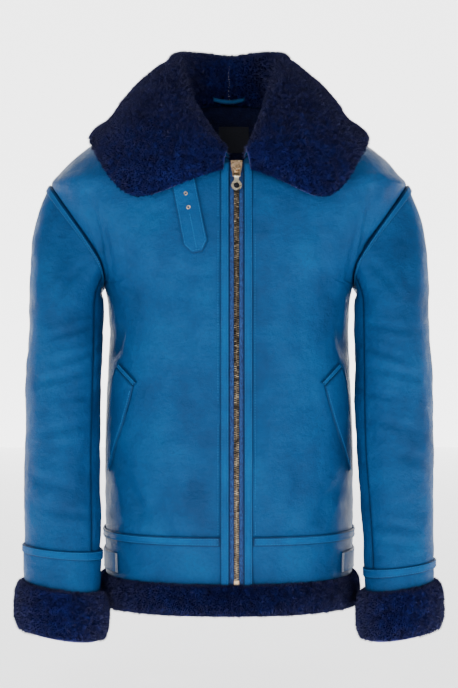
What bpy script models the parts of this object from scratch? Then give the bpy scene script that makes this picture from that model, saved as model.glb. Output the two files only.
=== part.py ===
"""Sheepskin flying jacket, worn form with nobody in it: leather outside, wool inside, turned wool at collar, cuffs and hem.

Frame: metres, +Z up, the front faces -Y, +X is the wearer's left. The origin is between the two shoulder-neck points,
where the wearer's shoulders carry the jacket. Sizes below are in millimetres and MM turns them into metres.
"""

import math

import bmesh
import bpy
from mathutils import Matrix, Vector

MM = 0.001

# Driving sizes, in millimetres
BODY_WALL = 6.0
SLEEVE_WALL = 5.0
STRIP_WALL = 1.8
SEAM_GAP = 0.5
LIFT = 0.4
PATCH_LIFT = 0.8
WAIST_SEAM_Z = -589.0
FUR_TOP_Z = -648.0
HEM_Z = -689.0
ARMPIT_Z = -245.0
NECK_FRONT_Z = -80.0
NECK_BACK_Z = 16.0
SIDE_SEAM_Y = 20.0
ROUNDNESS = 2.4
ZIP_X = 10.0
ZIP_GAP = 9.5
STRIP_WIDTH = 12.0
COLLAR_WOOL = 11.0
COLLAR_GAP = 1.7

# Body sections: height, half width, depth from the side seam to the front and to the back
BODY = (
    (16.0, 85.0, 58.0, 62.0),
    (0.0, 85.0, 60.0, 64.0),
    (-8.0, 106.0, 76.0, 69.0),
    (-18.0, 132.0, 92.0, 75.0),
    (-30.0, 158.0, 106.0, 82.0),
    (-45.0, 185.0, 118.0, 90.0),
    (-60.0, 208.0, 128.0, 97.0),
    (-75.0, 226.0, 135.5, 102.0),
    (-90.0, 240.0, 142.0, 106.0),
    (-104.0, 250.0, 147.0, 108.5),
    (-130.0, 241.0, 155.0, 112.5),
    (-160.0, 226.0, 161.5, 115.5),
    (-190.0, 210.0, 166.0, 117.5),
    (-215.0, 195.0, 168.5, 118.0),
    (-235.0, 180.0, 170.0, 118.0),
    (-245.0, 175.5, 170.5, 118.0),
    (-275.0, 170.0, 171.0, 118.0),
    (-330.0, 169.0, 171.5, 117.0),
    (-400.0, 171.5, 172.0, 115.5),
    (-480.0, 174.0, 172.0, 114.0),
    (-550.0, 175.0, 171.0, 113.0),
    (-589.0, 174.0, 169.0, 112.0),
    (-620.0, 172.5, 167.0, 111.0),
    (-648.0, 172.0, 166.0, 111.0),
    (-700.0, 172.0, 165.0, 111.0),
)

# Armhole seam on the body: height, distance from the middle
ARMHOLE = (
    (-104.0, 250.0),
    (-112.0, 245.0),
    (-125.0, 236.0),
    (-150.0, 218.0),
    (-175.0, 200.0),
    (-200.0, 183.5),
    (-218.0, 174.0),
    (-232.0, 171.5),
    (-240.0, 172.0),
    (-245.0, 175.5),
)

# Front neckline: height, distance from the middle
NECK_FRONT = (
    (0.0, 85.0),
    (-2.0, 81.5),
    (-8.0, 75.0),
    (-18.0, 66.0),
    (-30.0, 56.0),
    (-43.0, 45.0),
    (-57.0, 32.5),
    (-70.0, 20.0),
    (-80.0, 9.5),
)

# Back neckline: height, distance from the middle
NECK_BACK = ((0.0, 85.0), (5.0, 74.0), (11.0, 50.0), (14.5, 24.0), (16.0, 0.0))
NECK_BACK_ROWS = (0.0, 2.5, 5.0, 11.0, 14.5, 15.6)

# Heights of the grid rows of the front and back panels, from the waist seam up
PANEL_ROWS = (-588.7, -540.0, -480.0, -420.0, -360.0, -305.0, -265.0)
FRONT_TOP_ROWS = (-90.0, -75.0, -60.0, -45.0, -32.0, -20.0, -10.0, -3.0)
BACK_TOP_ROWS = (-80.0, -55.0, -32.0, -12.0)

# Large folds of the body front: where each trough starts and ends (distance across, height), its half width and depth
BODY_FOLDS = (
    (-196.0, -118.0, -171.0, -205.0, 9.0, 5.0),
    (206.0, -95.0, 182.0, -200.0, 9.0, 4.5),
    (-158.0, -300.0, -146.0, -345.0, 16.0, 3.0),
    (158.0, -296.0, 150.0, -350.0, 16.0, 3.0),
    (44.0, -190.0, 40.0, -470.0, 17.0, 3.5),
    (-150.0, -475.0, -120.0, -565.0, 18.0, 3.0),
    (150.0, -500.0, 118.0, -570.0, 18.0, 3.0),
)

# Sleeve sections, wearer's right and left: height, outer and inner distance across, middle and half depth fore and aft
SLEEVE = {
    "right": (
        (-275.0, 277.0, 173.0, -30.0, 64.0),
        (-327.0, 278.0, 173.0, -40.0, 64.0),
        (-405.0, 280.0, 174.5, -50.0, 63.0),
        (-473.0, 280.0, 175.5, -59.0, 61.0),
        (-541.0, 279.5, 174.5, -68.0, 59.0),
        (-602.0, 278.5, 173.5, -76.0, 57.0),
        (-662.0, 278.0, 175.0, -82.0, 56.0),
        (-725.0, 277.0, 176.0, -88.0, 55.0),
    ),
    "left": (
        (-275.0, 276.5, 173.0, -30.0, 64.0),
        (-327.0, 279.0, 172.5, -40.0, 64.0),
        (-405.0, 280.0, 172.5, -50.0, 63.0),
        (-473.0, 280.0, 174.0, -59.0, 61.0),
        (-541.0, 279.5, 179.0, -68.0, 58.0),
        (-602.0, 279.0, 183.0, -76.0, 55.0),
        (-662.0, 278.0, 185.0, -82.0, 53.0),
        (-725.0, 277.0, 185.0, -88.0, 52.0),
    ),
}
CUFF_SEAM_Z = {"right": -608.0, "left": -630.0}
CUFF_TILT = 0.16
FUR_CUFF_TOP_Z = -656.0
FUR_CUFF_END_Z = -720.5
CUFF_FULLNESS = 1.25
ARMHOLE_POINTS = 24
SLEEVE_START = Vector((0.5, -0.05, -0.86))
ARMHOLE_CENTRE = Vector((212.0, 12.0, -175.0))

# Collar ribs from the front end to the middle of the back: neckline height, crest (across, fore and aft, height),
# outer edge (across, height), and whether the edge lies on the front (-1) or the back (1)
COLLAR = (
    (-80.0, 13.0, -127.0, -67.0, 16.5, -95.0, -1),
    (-70.0, 25.0, -123.0, -52.0, 44.0, -101.0, -1),
    (-57.0, 36.0, -113.0, -36.0, 76.0, -121.0, -1),
    (-43.0, 45.0, -101.0, -18.0, 104.0, -138.0, -1),
    (-30.0, 53.0, -86.0, -1.0, 127.0, -139.0, -1),
    (-18.0, 60.0, -66.0, 20.0, 147.0, -119.0, -1),
    (-8.0, 67.0, -42.0, 42.0, 157.0, -88.0, -1),
    (-2.0, 75.0, -12.0, 64.0, 161.0, -58.0, -1),
    (0.0, 79.0, 22.0, 80.0, 158.0, -38.0, 1),
    (5.0, 66.0, 54.0, 88.0, 134.0, -35.0, 1),
    (11.0, 41.0, 74.0, 89.5, 80.0, -36.0, 1),
    (14.5, 20.0, 82.0, 88.0, 38.0, -39.0, 1),
    (16.0, 0.0, 83.0, 86.0, 0.0, -40.0, 1),
)
COLLAR_STATIONS = 19

# Pocket on each side: inner edge and outer edge of the patch, top to bottom (distance across, height)
POCKET_INNER = ((127.0, -384.0), (132.0, -404.0), (140.0, -431.0), (153.0, -469.0), (163.0, -502.0))
POCKET_OUTER = ((151.5, -359.0), (158.0, -378.0), (162.5, -408.0), (165.0, -450.0), (167.0, -500.0))

BLUE = (0.012, 0.125, 0.33)
NAVY = (0.006, 0.014, 0.075)
BRASS = (0.62, 0.47, 0.27)
DARK = (0.02, 0.02, 0.03)


def smooth_table(rows, key, column):
    """A column of a table at a height between its rows, on a smooth curve through them. Heights fall down the table."""
    if key >= rows[0][0]:
        return rows[0][column]
    if key <= rows[-1][0]:
        return rows[-1][column]
    i = max(k for k in range(len(rows) - 1) if rows[k][0] >= key)
    x0, x1 = rows[i][0], rows[i + 1][0]
    y0, y1 = rows[i][column], rows[i + 1][column]
    span = x1 - x0
    slope = (y1 - y0) / span

    def end_slope(j):
        if j <= 0 or j >= len(rows) - 1:
            return slope
        before = (rows[j][column] - rows[j - 1][column]) / (rows[j][0] - rows[j - 1][0])
        after = (rows[j + 1][column] - rows[j][column]) / (rows[j + 1][0] - rows[j][0])
        return 0.0 if before * after <= 0 else 2 * before * after / (before + after)

    t = (key - x0) / span
    h00, h10 = 2 * t**3 - 3 * t**2 + 1, t**3 - 2 * t**2 + t
    h01, h11 = 3 * t**2 - 2 * t**3, t**3 - t**2
    return h00 * y0 + h10 * span * end_slope(i) + h01 * y1 + h11 * span * end_slope(i + 1)


def along(points, share):
    """A point at a share of the way along a list of equally weighted points."""
    place = share * (len(points) - 1)
    i = min(int(place), len(points) - 2)
    return tuple(a + (b - a) * (place - i) for a, b in zip(points[i], points[i + 1]))


def fold_depth(x, z):
    """How deep the large folds of the front are at a place."""
    total = 0.0
    for x0, z0, x1, z1, width, depth in BODY_FOLDS:
        run = Vector((x1 - x0, z1 - z0))
        t = ((x - x0) * run.x + (z - z0) * run.y) / run.length_squared
        held = min(1.0, max(0.0, t))
        away = math.hypot(x - x0 - run.x * held, z - z0 - run.y * held)
        taper = math.sin(math.pi * held) ** 0.5 if 0.0 < t < 1.0 else 0.0
        total += depth * taper * math.exp(-((away / width) ** 2))
    return total


def section_point(angle, z, face):
    """A point of the plain body. Angle 0 is the middle front or back and pi/2 the side; face is -1 front, 1 back."""
    half = smooth_table(BODY, z, 1)
    depth = smooth_table(BODY, z, 2 if face < 0 else 3)
    s, c = math.sin(angle), math.cos(angle)
    x = half * math.copysign(abs(s) ** (2 / ROUNDNESS), s)
    y = SIDE_SEAM_Y + face * depth * math.copysign(abs(c) ** (2 / ROUNDNESS), c)
    return Vector((x, y, z))


def angle_at(x, z):
    """The angle of the body section at a distance across."""
    share = min(1.0, abs(x) / smooth_table(BODY, z, 1))
    return math.copysign(math.asin(share ** (ROUNDNESS / 2)), x)


def body_normal(angle, z, face):
    step, rise = 0.02, 1.5
    across = section_point(angle + step, z, face) - section_point(angle - step, z, face)
    up = section_point(angle, z + rise, face) - section_point(angle, z - rise, face)
    normal = up.cross(across) if face > 0 else across.cross(up)
    return normal.normalized()


def body_point(x, z, face, out=0.0):
    """A point of the body's outer surface at a distance across and a height, moved out by a distance."""
    angle = angle_at(x, z)
    normal = body_normal(angle, z, face)
    sink = fold_depth(x, z) if face < 0 else 0.0
    return section_point(angle, z, face) + normal * (out - sink)


def armhole_x(z):
    return smooth_table(ARMHOLE, z, 1)


def armhole_heights():
    """Heights of the points round the armhole, from the armpit up."""
    half = ARMHOLE_POINTS // 2
    rise = ARMHOLE[0][0] - ARMPIT_Z
    return [ARMPIT_Z + rise * (1 - math.cos(math.pi * k / half)) / 2 for k in range(half + 1)]


def side_limit(z):
    """Where the panels end at the side: the side seam, the armhole or the shoulder seam."""
    if ARMPIT_Z < z < ARMHOLE[0][0]:
        return armhole_x(z)
    return smooth_table(BODY, z, 1)


def seam_normal(z, face):
    """The way out at the wearer's left armhole seam, midway between the body's and the sleeve's own."""
    angle = angle_at(armhole_x(z), z)
    away = section_point(angle, z, face) - ARMHOLE_CENTRE
    along_sleeve = SLEEVE_START.normalized()
    sleeve_normal = (away - along_sleeve * away.dot(along_sleeve)).normalized()
    return (body_normal(angle, z, face) + sleeve_normal).normalized()


def body_row(x_from, x_to, z, face, count, wall_from, wall_to, shift=0.0):
    """Outer and inner points of one row of a panel, spaced evenly round the section."""
    start, end = angle_at(x_from, z), angle_at(x_to, z)
    rows = ([], [])
    for k in range(count + 1):
        angle = start + (end - start) * k / count
        normal = body_normal(angle, z, face)
        base = section_point(angle, z, face)
        if ARMPIT_Z <= z <= ARMHOLE[0][0] and abs(abs(base.x) - armhole_x(z)) < 0.01:
            normal = seam_normal(z, face)
            normal.x *= math.copysign(1.0, base.x)
        sink = fold_depth(base.x, z) if face < 0 else 0.0
        moved = base + Vector((0, face * shift, 0))
        rows[0].append(moved + normal * (wall_from - sink))
        rows[1].append(moved + normal * (wall_to - sink))
    return rows


def material(name, colour, roughness, metallic=0.0):
    found = bpy.data.materials.get(name)
    if found:
        return found
    made = bpy.data.materials.new(name)
    made.use_nodes = True
    shader = made.node_tree.nodes["Principled BSDF"]
    shader.inputs["Base Color"].default_value = (*colour, 1.0)
    shader.inputs["Roughness"].default_value = roughness
    shader.inputs["Metallic"].default_value = metallic
    return made


def add_object(name, mesh, finish):
    mesh.materials.append(finish)
    obj = bpy.data.objects.new(name, mesh)
    PARTS.objects.link(obj)
    return obj


def wall(name, outer, inner, finish, round_rows=False, round_columns=False):
    """A closed wall between two grids of points, given as rows. Rows or columns may run right round."""
    count, width = len(outer), len(outer[0])
    bm = bmesh.new()
    skins = [[[bm.verts.new(p * MM) for p in row] for row in grid] for grid in (outer, inner)]
    row_pairs = [(r, (r + 1) % count) for r in range(count if round_rows else count - 1)]
    column_pairs = [(k, (k + 1) % width) for k in range(width if round_columns else width - 1)]
    for r, s in row_pairs:
        for k, m in column_pairs:
            bm.faces.new((skins[0][r][k], skins[0][r][m], skins[0][s][m], skins[0][s][k]))
            bm.faces.new((skins[1][s][k], skins[1][s][m], skins[1][r][m], skins[1][r][k]))
        if not round_columns:
            for k in (0, width - 1):
                bm.faces.new((skins[0][r][k], skins[0][s][k], skins[1][s][k], skins[1][r][k]))
    if not round_rows:
        for r in (0, count - 1):
            for k, m in column_pairs:
                bm.faces.new((skins[0][r][k], skins[0][r][m], skins[1][r][m], skins[1][r][k]))
    bmesh.ops.recalc_face_normals(bm, faces=bm.faces)
    mesh = bpy.data.meshes.new(name)
    bm.to_mesh(mesh)
    bm.free()
    mesh.shade_smooth()
    mesh.set_sharp_from_angle(angle=math.radians(50))
    return add_object(name, mesh, finish)


def side_sign(side):
    return -1.0 if side == "right" else 1.0


def front_edge(side):
    """Where a front piece ends beside the zip."""
    return ZIP_X + side_sign(side) * ZIP_GAP


def neck_start(side, z):
    """Where a front row starts: the zip's edge below the neckline, the neckline above it."""
    if z <= NECK_FRONT_Z:
        return front_edge(side)
    share = min(1.0, (z - NECK_FRONT_Z) / 60.0)
    return side_sign(side) * smooth_table(NECK_FRONT, z, 1) + ZIP_X * (1 - share)


def make_fronts():
    for side in ("right", "left"):
        outer, inner = [], []
        for z in (*PANEL_ROWS, *armhole_heights(), *FRONT_TOP_ROWS):
            end = side_sign(side) * side_limit(z)
            row = body_row(neck_start(side, z), end, z, -1, 11, 0.0, -BODY_WALL, SEAM_GAP / 2)
            outer.append(row[0])
            inner.append(row[1])
        wall(f"front_{side}", outer, inner, LEATHER)


def make_back():
    outer, inner = [], []
    for z in (*PANEL_ROWS, *armhole_heights(), *BACK_TOP_ROWS):
        end = side_limit(z)
        row = body_row(-end, end, z, 1, 18, 0.0, -BODY_WALL, SEAM_GAP / 2)
        outer.append(row[0])
        inner.append(row[1])
    for z in NECK_BACK_ROWS:
        x = neck_back_x(z)
        row = body_row(-x, x, z, 1, 18, 0.0, -BODY_WALL, SEAM_GAP / 2)
        outer.append(row[0])
        inner.append(row[1])
    wall("back", outer, inner, LEATHER)


def band(name, heights, face, x_from, x_to, count, out_from, out_to, finish):
    """A horizontal band on the body section, such as the waistband or the strip over the waist seam."""
    outer, inner = [], []
    for z in heights:
        row = body_row(x_from(z), x_to(z), z, face, count, out_to, out_from, SEAM_GAP / 2)
        outer.append(row[0])
        inner.append(row[1])
    return wall(name, outer, inner, finish)


def make_waist():
    top = WAIST_SEAM_Z - SEAM_GAP
    heights = (top, -606.0, -627.0, FUR_TOP_Z + SEAM_GAP)
    strip = (-583.0, -589.0, -595.0)
    half = lambda z: smooth_table(BODY, z, 1)
    for side in ("right", "left"):
        sign = side_sign(side)
        inner_edge = front_edge(side)
        strip_start = inner_edge + sign * (STRIP_WIDTH + SEAM_GAP)
        band(f"waistband_{side}", heights, -1, lambda z: inner_edge, lambda z: sign * half(z), FRONT_COLUMNS,
             -BODY_WALL, 0.0, LEATHER)
        band(f"waist_strip_{side}", strip, -1, lambda z: strip_start, lambda z: sign * half(z), 14,
             LIFT, LIFT + STRIP_WALL, LEATHER)
    band("waistband_back", heights, 1, lambda z: -half(z), lambda z: half(z), BACK_COLUMNS, -BODY_WALL, 0.0, LEATHER)
    band("waist_strip_back", strip, 1, lambda z: -half(z), lambda z: half(z), BACK_COLUMNS, PATCH_LIFT,
         PATCH_LIFT + STRIP_WALL, LEATHER)


# Turned wool edge, seen in section: how far down it is as a share of its height, and how far it stands out of the skin
FUR_OUT = ((0.0, -1.0), (0.03, 5.0), (0.32, 8.5), (0.72, 8.5), (0.95, 4.0))
FUR_IN = ((0.0, -7.0), (0.12, -9.5), (0.45, -12.0), (0.88, -10.5), (1.0, -3.5))


def make_fur_hem():
    top, height = FUR_TOP_Z, FUR_TOP_Z - HEM_Z
    for name, face, side, count in (("right", -1, -1, 14), ("left", -1, 1, 14), ("back", 1, 0, 20)):
        outer, inner = [], []
        for profile, grid in ((FUR_OUT, outer), (FUR_IN, inner)):
            for down, out in profile:
                z = top - height * down
                half = smooth_table(BODY, z, 1)
                start = -half if side == 0 else front_edge(name) - side * (ZIP_GAP - SEAM_GAP)
                end = half if side == 0 else side * half
                grid.append(body_row(start, end, z, face, count, out, out, SEAM_GAP / 2)[0])
        wall(f"fur_hem_{name}", outer, inner, WOOL)


def make_front_strips():
    top, bottom, rows = NECK_FRONT_Z - 6.0, FUR_TOP_Z + 0.6, 18
    heights = [top + (bottom - top) * k / rows for k in range(rows + 1)]
    for side in ("right", "left"):
        start = front_edge(side)
        end = start + side_sign(side) * STRIP_WIDTH
        band(f"front_strip_{side}", heights, -1, lambda z: start, lambda z: end, 1, PATCH_LIFT,
             PATCH_LIFT + STRIP_WALL, LEATHER)


def sleeve_section(side, z, angle):
    """A point of the sleeve's outer surface below the armhole. Angle 0 faces out, pi/2 the front, pi the body."""
    rows = SLEEVE[side]
    out, back = smooth_table(rows, z, 1), smooth_table(rows, z, 2)
    x = (out + back) / 2 + (out - back) / 2 * math.cos(angle)
    y = smooth_table(rows, z, 3) - smooth_table(rows, z, 4) * math.sin(angle)
    tilt = CUFF_TILT * min(1.0, max(0.0, (-560.0 - z) / 80.0))
    return Vector((side_sign(side) * x, y, z + tilt * (x - (out + back) / 2)))


def armhole_ring(depth):
    """Points round the wearer's left armhole, from the shoulder tip down the front and up the back, at a depth in."""
    ring = []
    half = ARMHOLE_POINTS // 2
    top, bottom = ARMHOLE[0][0], ARMPIT_Z
    for k in range(ARMHOLE_POINTS):
        face = -1 if k <= half else 1
        turn = math.pi * (k if k <= half else ARMHOLE_POINTS - k) / half
        z = top + (bottom - top) * (1 - math.cos(turn)) / 2
        ring.append(section_point(angle_at(armhole_x(z), z), z, face) - seam_normal(z, face) * depth)
    return ring


def sleeve_grid(side, depth, heights):
    """Rows of points round the sleeve at a depth in from its outer surface, from the armhole down."""
    sign = side_sign(side)
    ring = [Vector((sign * p.x, p.y, p.z)) for p in armhole_ring(depth)]
    start = Vector((sign * SLEEVE_START.x, SLEEVE_START.y, SLEEVE_START.z)).normalized()
    first = SLEEVE[side][0][0]
    lower = []
    for k in range(ARMHOLE_POINTS):
        lower.append(offset_sleeve(side, first, 2 * math.pi * k / ARMHOLE_POINTS, depth))
    rows = []
    for share in CAP_ROWS:
        row = []
        for a, b in zip(ring, lower):
            a = a + start * SEAM_GAP
            reach = (b - a).length
            h00, h10 = 2 * share**3 - 3 * share**2 + 1, share**3 - 2 * share**2 + share
            h01, h11 = 3 * share**2 - 2 * share**3, share**3 - share**2
            down = Vector((0, -0.15, -1)).normalized()
            row.append(a * h00 + start * (h10 * reach) + b * h01 + down * (h11 * reach))
        rows.append(row)
    for z in heights:
        rows.append([offset_sleeve(side, z, 2 * math.pi * k / ARMHOLE_POINTS, depth) for k in range(ARMHOLE_POINTS)])
    return rows


CAP_ROWS = (0.0, 0.06, 0.22, 0.42, 0.62, 0.82, 1.0)
SLEEVE_ROWS = (-315.0, -365.0, -415.0, -465.0, -515.0, -560.0)


def offset_sleeve(side, z, angle, depth):
    rows = SLEEVE[side]
    centre = (smooth_table(rows, z, 1) + smooth_table(rows, z, 2)) / 2 * side_sign(side)
    p = sleeve_section(side, z, angle)
    inward = Vector((centre - p.x, smooth_table(rows, z, 3) - p.y, 0)).normalized()
    return p + inward * depth


def make_sleeves():
    half = ARMHOLE_POINTS // 2
    top_columns = list(range(-4, half - 3))
    under_columns = list(range(half - 4, ARMHOLE_POINTS - 3))
    for side in ("right", "left"):
        heights = (*SLEEVE_ROWS, CUFF_SEAM_Z[side])
        outer, inner = sleeve_grid(side, 0.0, heights), sleeve_grid(side, SLEEVE_WALL, heights)
        for name, columns in (("sleeve_top", top_columns), ("sleeve_under", under_columns)):
            pick = lambda grid: [seam_ends([row[k % ARMHOLE_POINTS] for k in columns]) for row in grid]
            wall(f"{name}_{side}", pick(outer), pick(inner), LEATHER)
        raised = [sleeve_grid(side, -out, ())[:2] for out in (LIFT + STRIP_WALL, LIFT)]
        wall(f"armhole_strip_{side}", raised[0], raised[1], LEATHER, round_columns=True)


def seam_ends(points):
    """A row of points with half of the seam's gap taken off each end."""
    a = (points[1] - points[0]).normalized() * (SEAM_GAP / 2)
    b = (points[-2] - points[-1]).normalized() * (SEAM_GAP / 2)
    return [points[0] + a, *points[1:-1], points[-1] + b]


def cuff_ring(side, heights, depths):
    count = ARMHOLE_POINTS
    return [
        [offset_sleeve(side, z, 2 * math.pi * k / count, depth) for k in range(count)]
        for z, depth in zip(heights, depths)
    ]


def make_cuffs():
    for side in ("right", "left"):
        seam = CUFF_SEAM_Z[side]
        heights = (seam - SEAM_GAP, (seam + FUR_CUFF_TOP_Z) / 2, FUR_CUFF_TOP_Z + SEAM_GAP)
        wall(f"cuff_band_{side}", cuff_ring(side, heights, (0.0,) * 3), cuff_ring(side, heights, (SLEEVE_WALL,) * 3),
             LEATHER, round_columns=True)
        strip = (seam + 6.0, seam, seam - 6.0)
        wall(f"cuff_strip_{side}", cuff_ring(side, strip, (-LIFT - STRIP_WALL,) * 3),
             cuff_ring(side, strip, (-LIFT,) * 3), LEATHER, round_columns=True)
        height = FUR_CUFF_TOP_Z - FUR_CUFF_END_Z
        out_z, in_z = ([FUR_CUFF_TOP_Z - height * down for down, _ in rows] for rows in (FUR_OUT, FUR_IN))
        out_depth = [-out * CUFF_FULLNESS for _, out in FUR_OUT]
        in_depth = [-out for _, out in FUR_IN]
        wall(f"fur_cuff_{side}", cuff_ring(side, out_z, out_depth), cuff_ring(side, in_z, in_depth), WOOL,
             round_columns=True)


def inside_body(p, lift):
    """Whether a point lies inside the body once the body is grown by a distance."""
    for q in (Vector((p.x, p.y, p.z - lift)), p):
        if q.z > NECK_BACK_Z:
            continue
        half = smooth_table(BODY, q.z, 1) + lift
        depth = smooth_table(BODY, q.z, 2 if q.y < SIDE_SEAM_Y else 3) + lift
        if (abs(q.x) / half) ** ROUNDNESS + (abs(q.y - SIDE_SEAM_Y) / depth) ** ROUNDNESS < 1.0:
            return True
    return False


def rest_on_body(p, outward, lift):
    """A point moved out and up until it is clear of the body."""
    step = (outward + Vector((0, 0, 0.6))).normalized() * 0.5
    for _ in range(200):
        if not inside_body(p, lift):
            break
        p = p + step
    return p


def collar_rib(row, side):
    """Wool side and skin side of the collar at one rib, from the neckline up over the crest and down to the edge."""
    base_z, crest_x, crest_y, crest_z, edge_x, edge_z, face = row
    sign = side_sign(side)
    on_front = base_z < 0 or (base_z == 0 and face < 0)
    shift = ZIP_X * max(0.0, 1 - max(0.0, base_z - NECK_FRONT_Z) / 60.0)
    neck = smooth_table(NECK_FRONT, base_z, 1) if on_front else neck_back_x(base_z)
    neck_x = sign * neck + shift
    neck_face = -1 if on_front else 1
    angle = angle_at(neck_x, base_z)
    normal = body_normal(angle, base_z, neck_face)
    base = section_point(angle, base_z, neck_face)
    crest = Vector((sign * crest_x + shift, crest_y, crest_z))
    edge = section_point(angle_at(sign * edge_x + shift, edge_z), edge_z, face)
    out = Vector((edge.x - base.x * 0.6, edge.y - base.y * 0.6, 0)).normalized()
    rise = (crest - base).normalized()
    base = base + rise * COLLAR_GAP
    up = Vector((0, 0, 1))
    full = COLLAR_WOOL * min(1.0, 0.36 + (base_z - NECK_FRONT_Z) / 40.0)
    skin_crest = crest - up * full
    height = (skin_crest - base).length
    mid = base.lerp(skin_crest, 0.5) - out * min(3.0, height * 0.05)
    edge = rest_on_body(edge, out, 4.0)
    fold = skin_crest + out * (full * 0.32) - up * 1.0
    drop = (edge - fold).length
    turn = fold + out * (drop * 0.22) - up * (drop * 0.08)
    land = edge + up * (drop * 0.30) + out * (drop * 0.02)
    fall = []
    for t in (0.06, 0.22, 0.40, 0.58, 0.76, 0.90, 1.0):
        p = fold * (1 - t) ** 3 + turn * 3 * t * (1 - t) ** 2 + land * 3 * t * t * (1 - t) + edge * t**3
        fall.append(rest_on_body(p, out, 4.0))
    skin = [base - normal * 0.3, mid, skin_crest - up * (full * 0.18), skin_crest + up * (full * 0.1) + out, fold]
    skin += fall
    wool = [base - normal * (full * 0.8), mid - out * full, skin_crest - up * (full * 0.18) - out * full]
    wool += [crest - out * (full * 0.36), crest + out * (full * 0.75) - up * (full * 0.14)]
    for k, p in enumerate(fall):
        ahead = fall[min(k + 1, len(fall) - 1)] - (fall[k - 1] if k else fold)
        tangent = ahead.normalized()
        away = (out - tangent * out.dot(tangent)).normalized()
        thick = max(3.2, full * (1.0, 1.05, 1.08, 1.08, 1.02, 0.85, 0.4)[k])
        wool.append(p + away * thick)
    tip = (edge - fall[-2]).normalized()
    wool[-1] = wool[-1] + tip * 4.0
    skin[-1] = skin[-1] + tip * 3.0
    return wool, skin


def neck_back_x(z):
    rows = tuple(reversed(NECK_BACK))
    return smooth_table(rows, z, 1)


def resample(ribs, count):
    """Ribs interpolated on a smooth curve through the given ones."""
    last = len(ribs) - 1
    made = []
    for k in range(count + 1):
        place = k / count * last
        i = min(int(place), last - 1)
        t = place - i
        p0, p1, p2, p3 = (ribs[min(last, max(0, j))] for j in (i - 1, i, i + 1, i + 2))
        made.append([
            0.5 * (2 * b + (c - a) * t + (2 * a - 5 * b + 4 * c - d) * t * t + (3 * b - a - 3 * c + d) * t**3)
            for a, b, c, d in zip(p0, p1, p2, p3)
        ])
    return made


def even_out(grid):
    """Smooth a grid of ribs along the collar's length, all but its seam with the neck."""
    for k in range(1, len(grid[0])):
        column = [rib[k].copy() for rib in grid]
        for i in range(1, len(grid) - 1):
            grid[i][k] = (column[i - 1] + column[i] * 2 + column[i + 1]) / 4


def settle_fall(skin, wool):
    """Even out the collar's fall along its length, then clear it of the body. The wool moves with its skin."""
    last = len(skin) - 1
    for k in range(5, len(skin[0])):
        column = [rib[k].copy() for rib in skin]
        for i in range(last + 1):
            p = skin[i][k]
            moved = (column[i - 1] + column[i] * 2 + column[i + 1]) / 4 if 0 < i < last else p
            lift = 4.0 + 3.0 * min(1.0, max(0.0, (abs(moved.x) - 120.0) / 40.0))
            moved = rest_on_body(moved, Vector((moved.x, moved.y - SIDE_SEAM_Y, 0)).normalized(), lift)
            skin[i][k], wool[i][k] = moved, wool[i][k] + (moved - p)


def make_collar():
    for side in ("right", "left"):
        ribs = [collar_rib(row, side) for row in COLLAR]
        wool = resample([r[0] for r in ribs], COLLAR_STATIONS)
        skin = resample([r[1] for r in ribs], COLLAR_STATIONS)
        for _ in range(2):
            even_out(skin)
            even_out(wool)
        for _ in range(3):
            settle_fall(skin, wool)
        for grid in (wool, skin):
            for p in grid[-1]:
                p.x = side_sign(side) * SEAM_GAP / 2
        wall(f"collar_{side}", wool, skin, WOOL)


def make_pockets():
    for side in ("right", "left"):
        sign = side_sign(side)
        outer, inner = [], []
        for r in range(8):
            share = r / 7
            a, b = along(POCKET_INNER, share), along(POCKET_OUTER, share)
            for grid, out in ((outer, PATCH_LIFT + STRIP_WALL), (inner, PATCH_LIFT)):
                grid.append([
                    body_point(sign * (a[0] + (b[0] - a[0]) * k / 5), a[1] + (b[1] - a[1]) * k / 5, -1, out)
                    for k in range(6)
                ])
        wall(f"pocket_patch_{side}", outer, inner, LEATHER)
        low, high = POCKET_INNER[0], POCKET_OUTER[0]
        outer, inner = [], []
        for across in (1.2, 7.0):
            for grid, out in ((outer, PATCH_LIFT + 3.4), (inner, PATCH_LIFT)):
                row = []
                for k in range(6):
                    x = low[0] + (high[0] - low[0]) * k / 5 - across * 0.7
                    z = low[1] + (high[1] - low[1]) * k / 5 + across * 0.7
                    row.append(body_point(sign * x, z, -1, out))
                grid.append(row)
        wall(f"pocket_welt_{side}", outer, inner, LEATHER)


FRONT_COLUMNS = 14
BACK_COLUMNS = 20
TAB_FROM = 9
TAB_BACK = 4


def make_side_tabs():
    """The tab over the side of the waistband, on the waistband's own columns round the side seam."""
    for side in ("right", "left"):
        sign = side_sign(side)
        outer, inner = [], []
        for z in (-610.0, -624.5, -639.0):
            for grid, out in ((outer, LIFT + 2.8), (inner, LIFT + 0.4)):
                start, turn = angle_at(front_edge(side), z), sign * math.pi / 2
                front = [start + (turn - start) * k / FRONT_COLUMNS for k in range(TAB_FROM, FRONT_COLUMNS + 1)]
                rear = [turn - sign * math.pi * k / BACK_COLUMNS for k in range(1, TAB_BACK + 1)]
                row = [section_point(a, z, -1) + body_normal(a, z, -1) * out for a in front]
                row += [section_point(a, z, 1) + body_normal(a, z, 1) * out for a in rear]
                grid.append(row)
        wall(f"side_tab_{side}", outer, inner, LEATHER)


# Collar strap: where its middle line starts under the collar and where it ends (distance across, height)
STRAP_TOP = (-62.0, -104.0)
STRAP_TIP = (-41.5, -207.0)
STRAP_HALF = 16.5
STRAP_WALL = 2.4
STRAP_LIFT = 0.9
EYELETS = (0.24, 0.42)


def strap_point(across, share, out):
    top, tip = Vector(STRAP_TOP), Vector(STRAP_TIP)
    run = tip - top
    side = Vector((-run.y, run.x)).normalized()
    place = top + run * share + side * across
    return body_point(place.x, place.y, -1, out)


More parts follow.
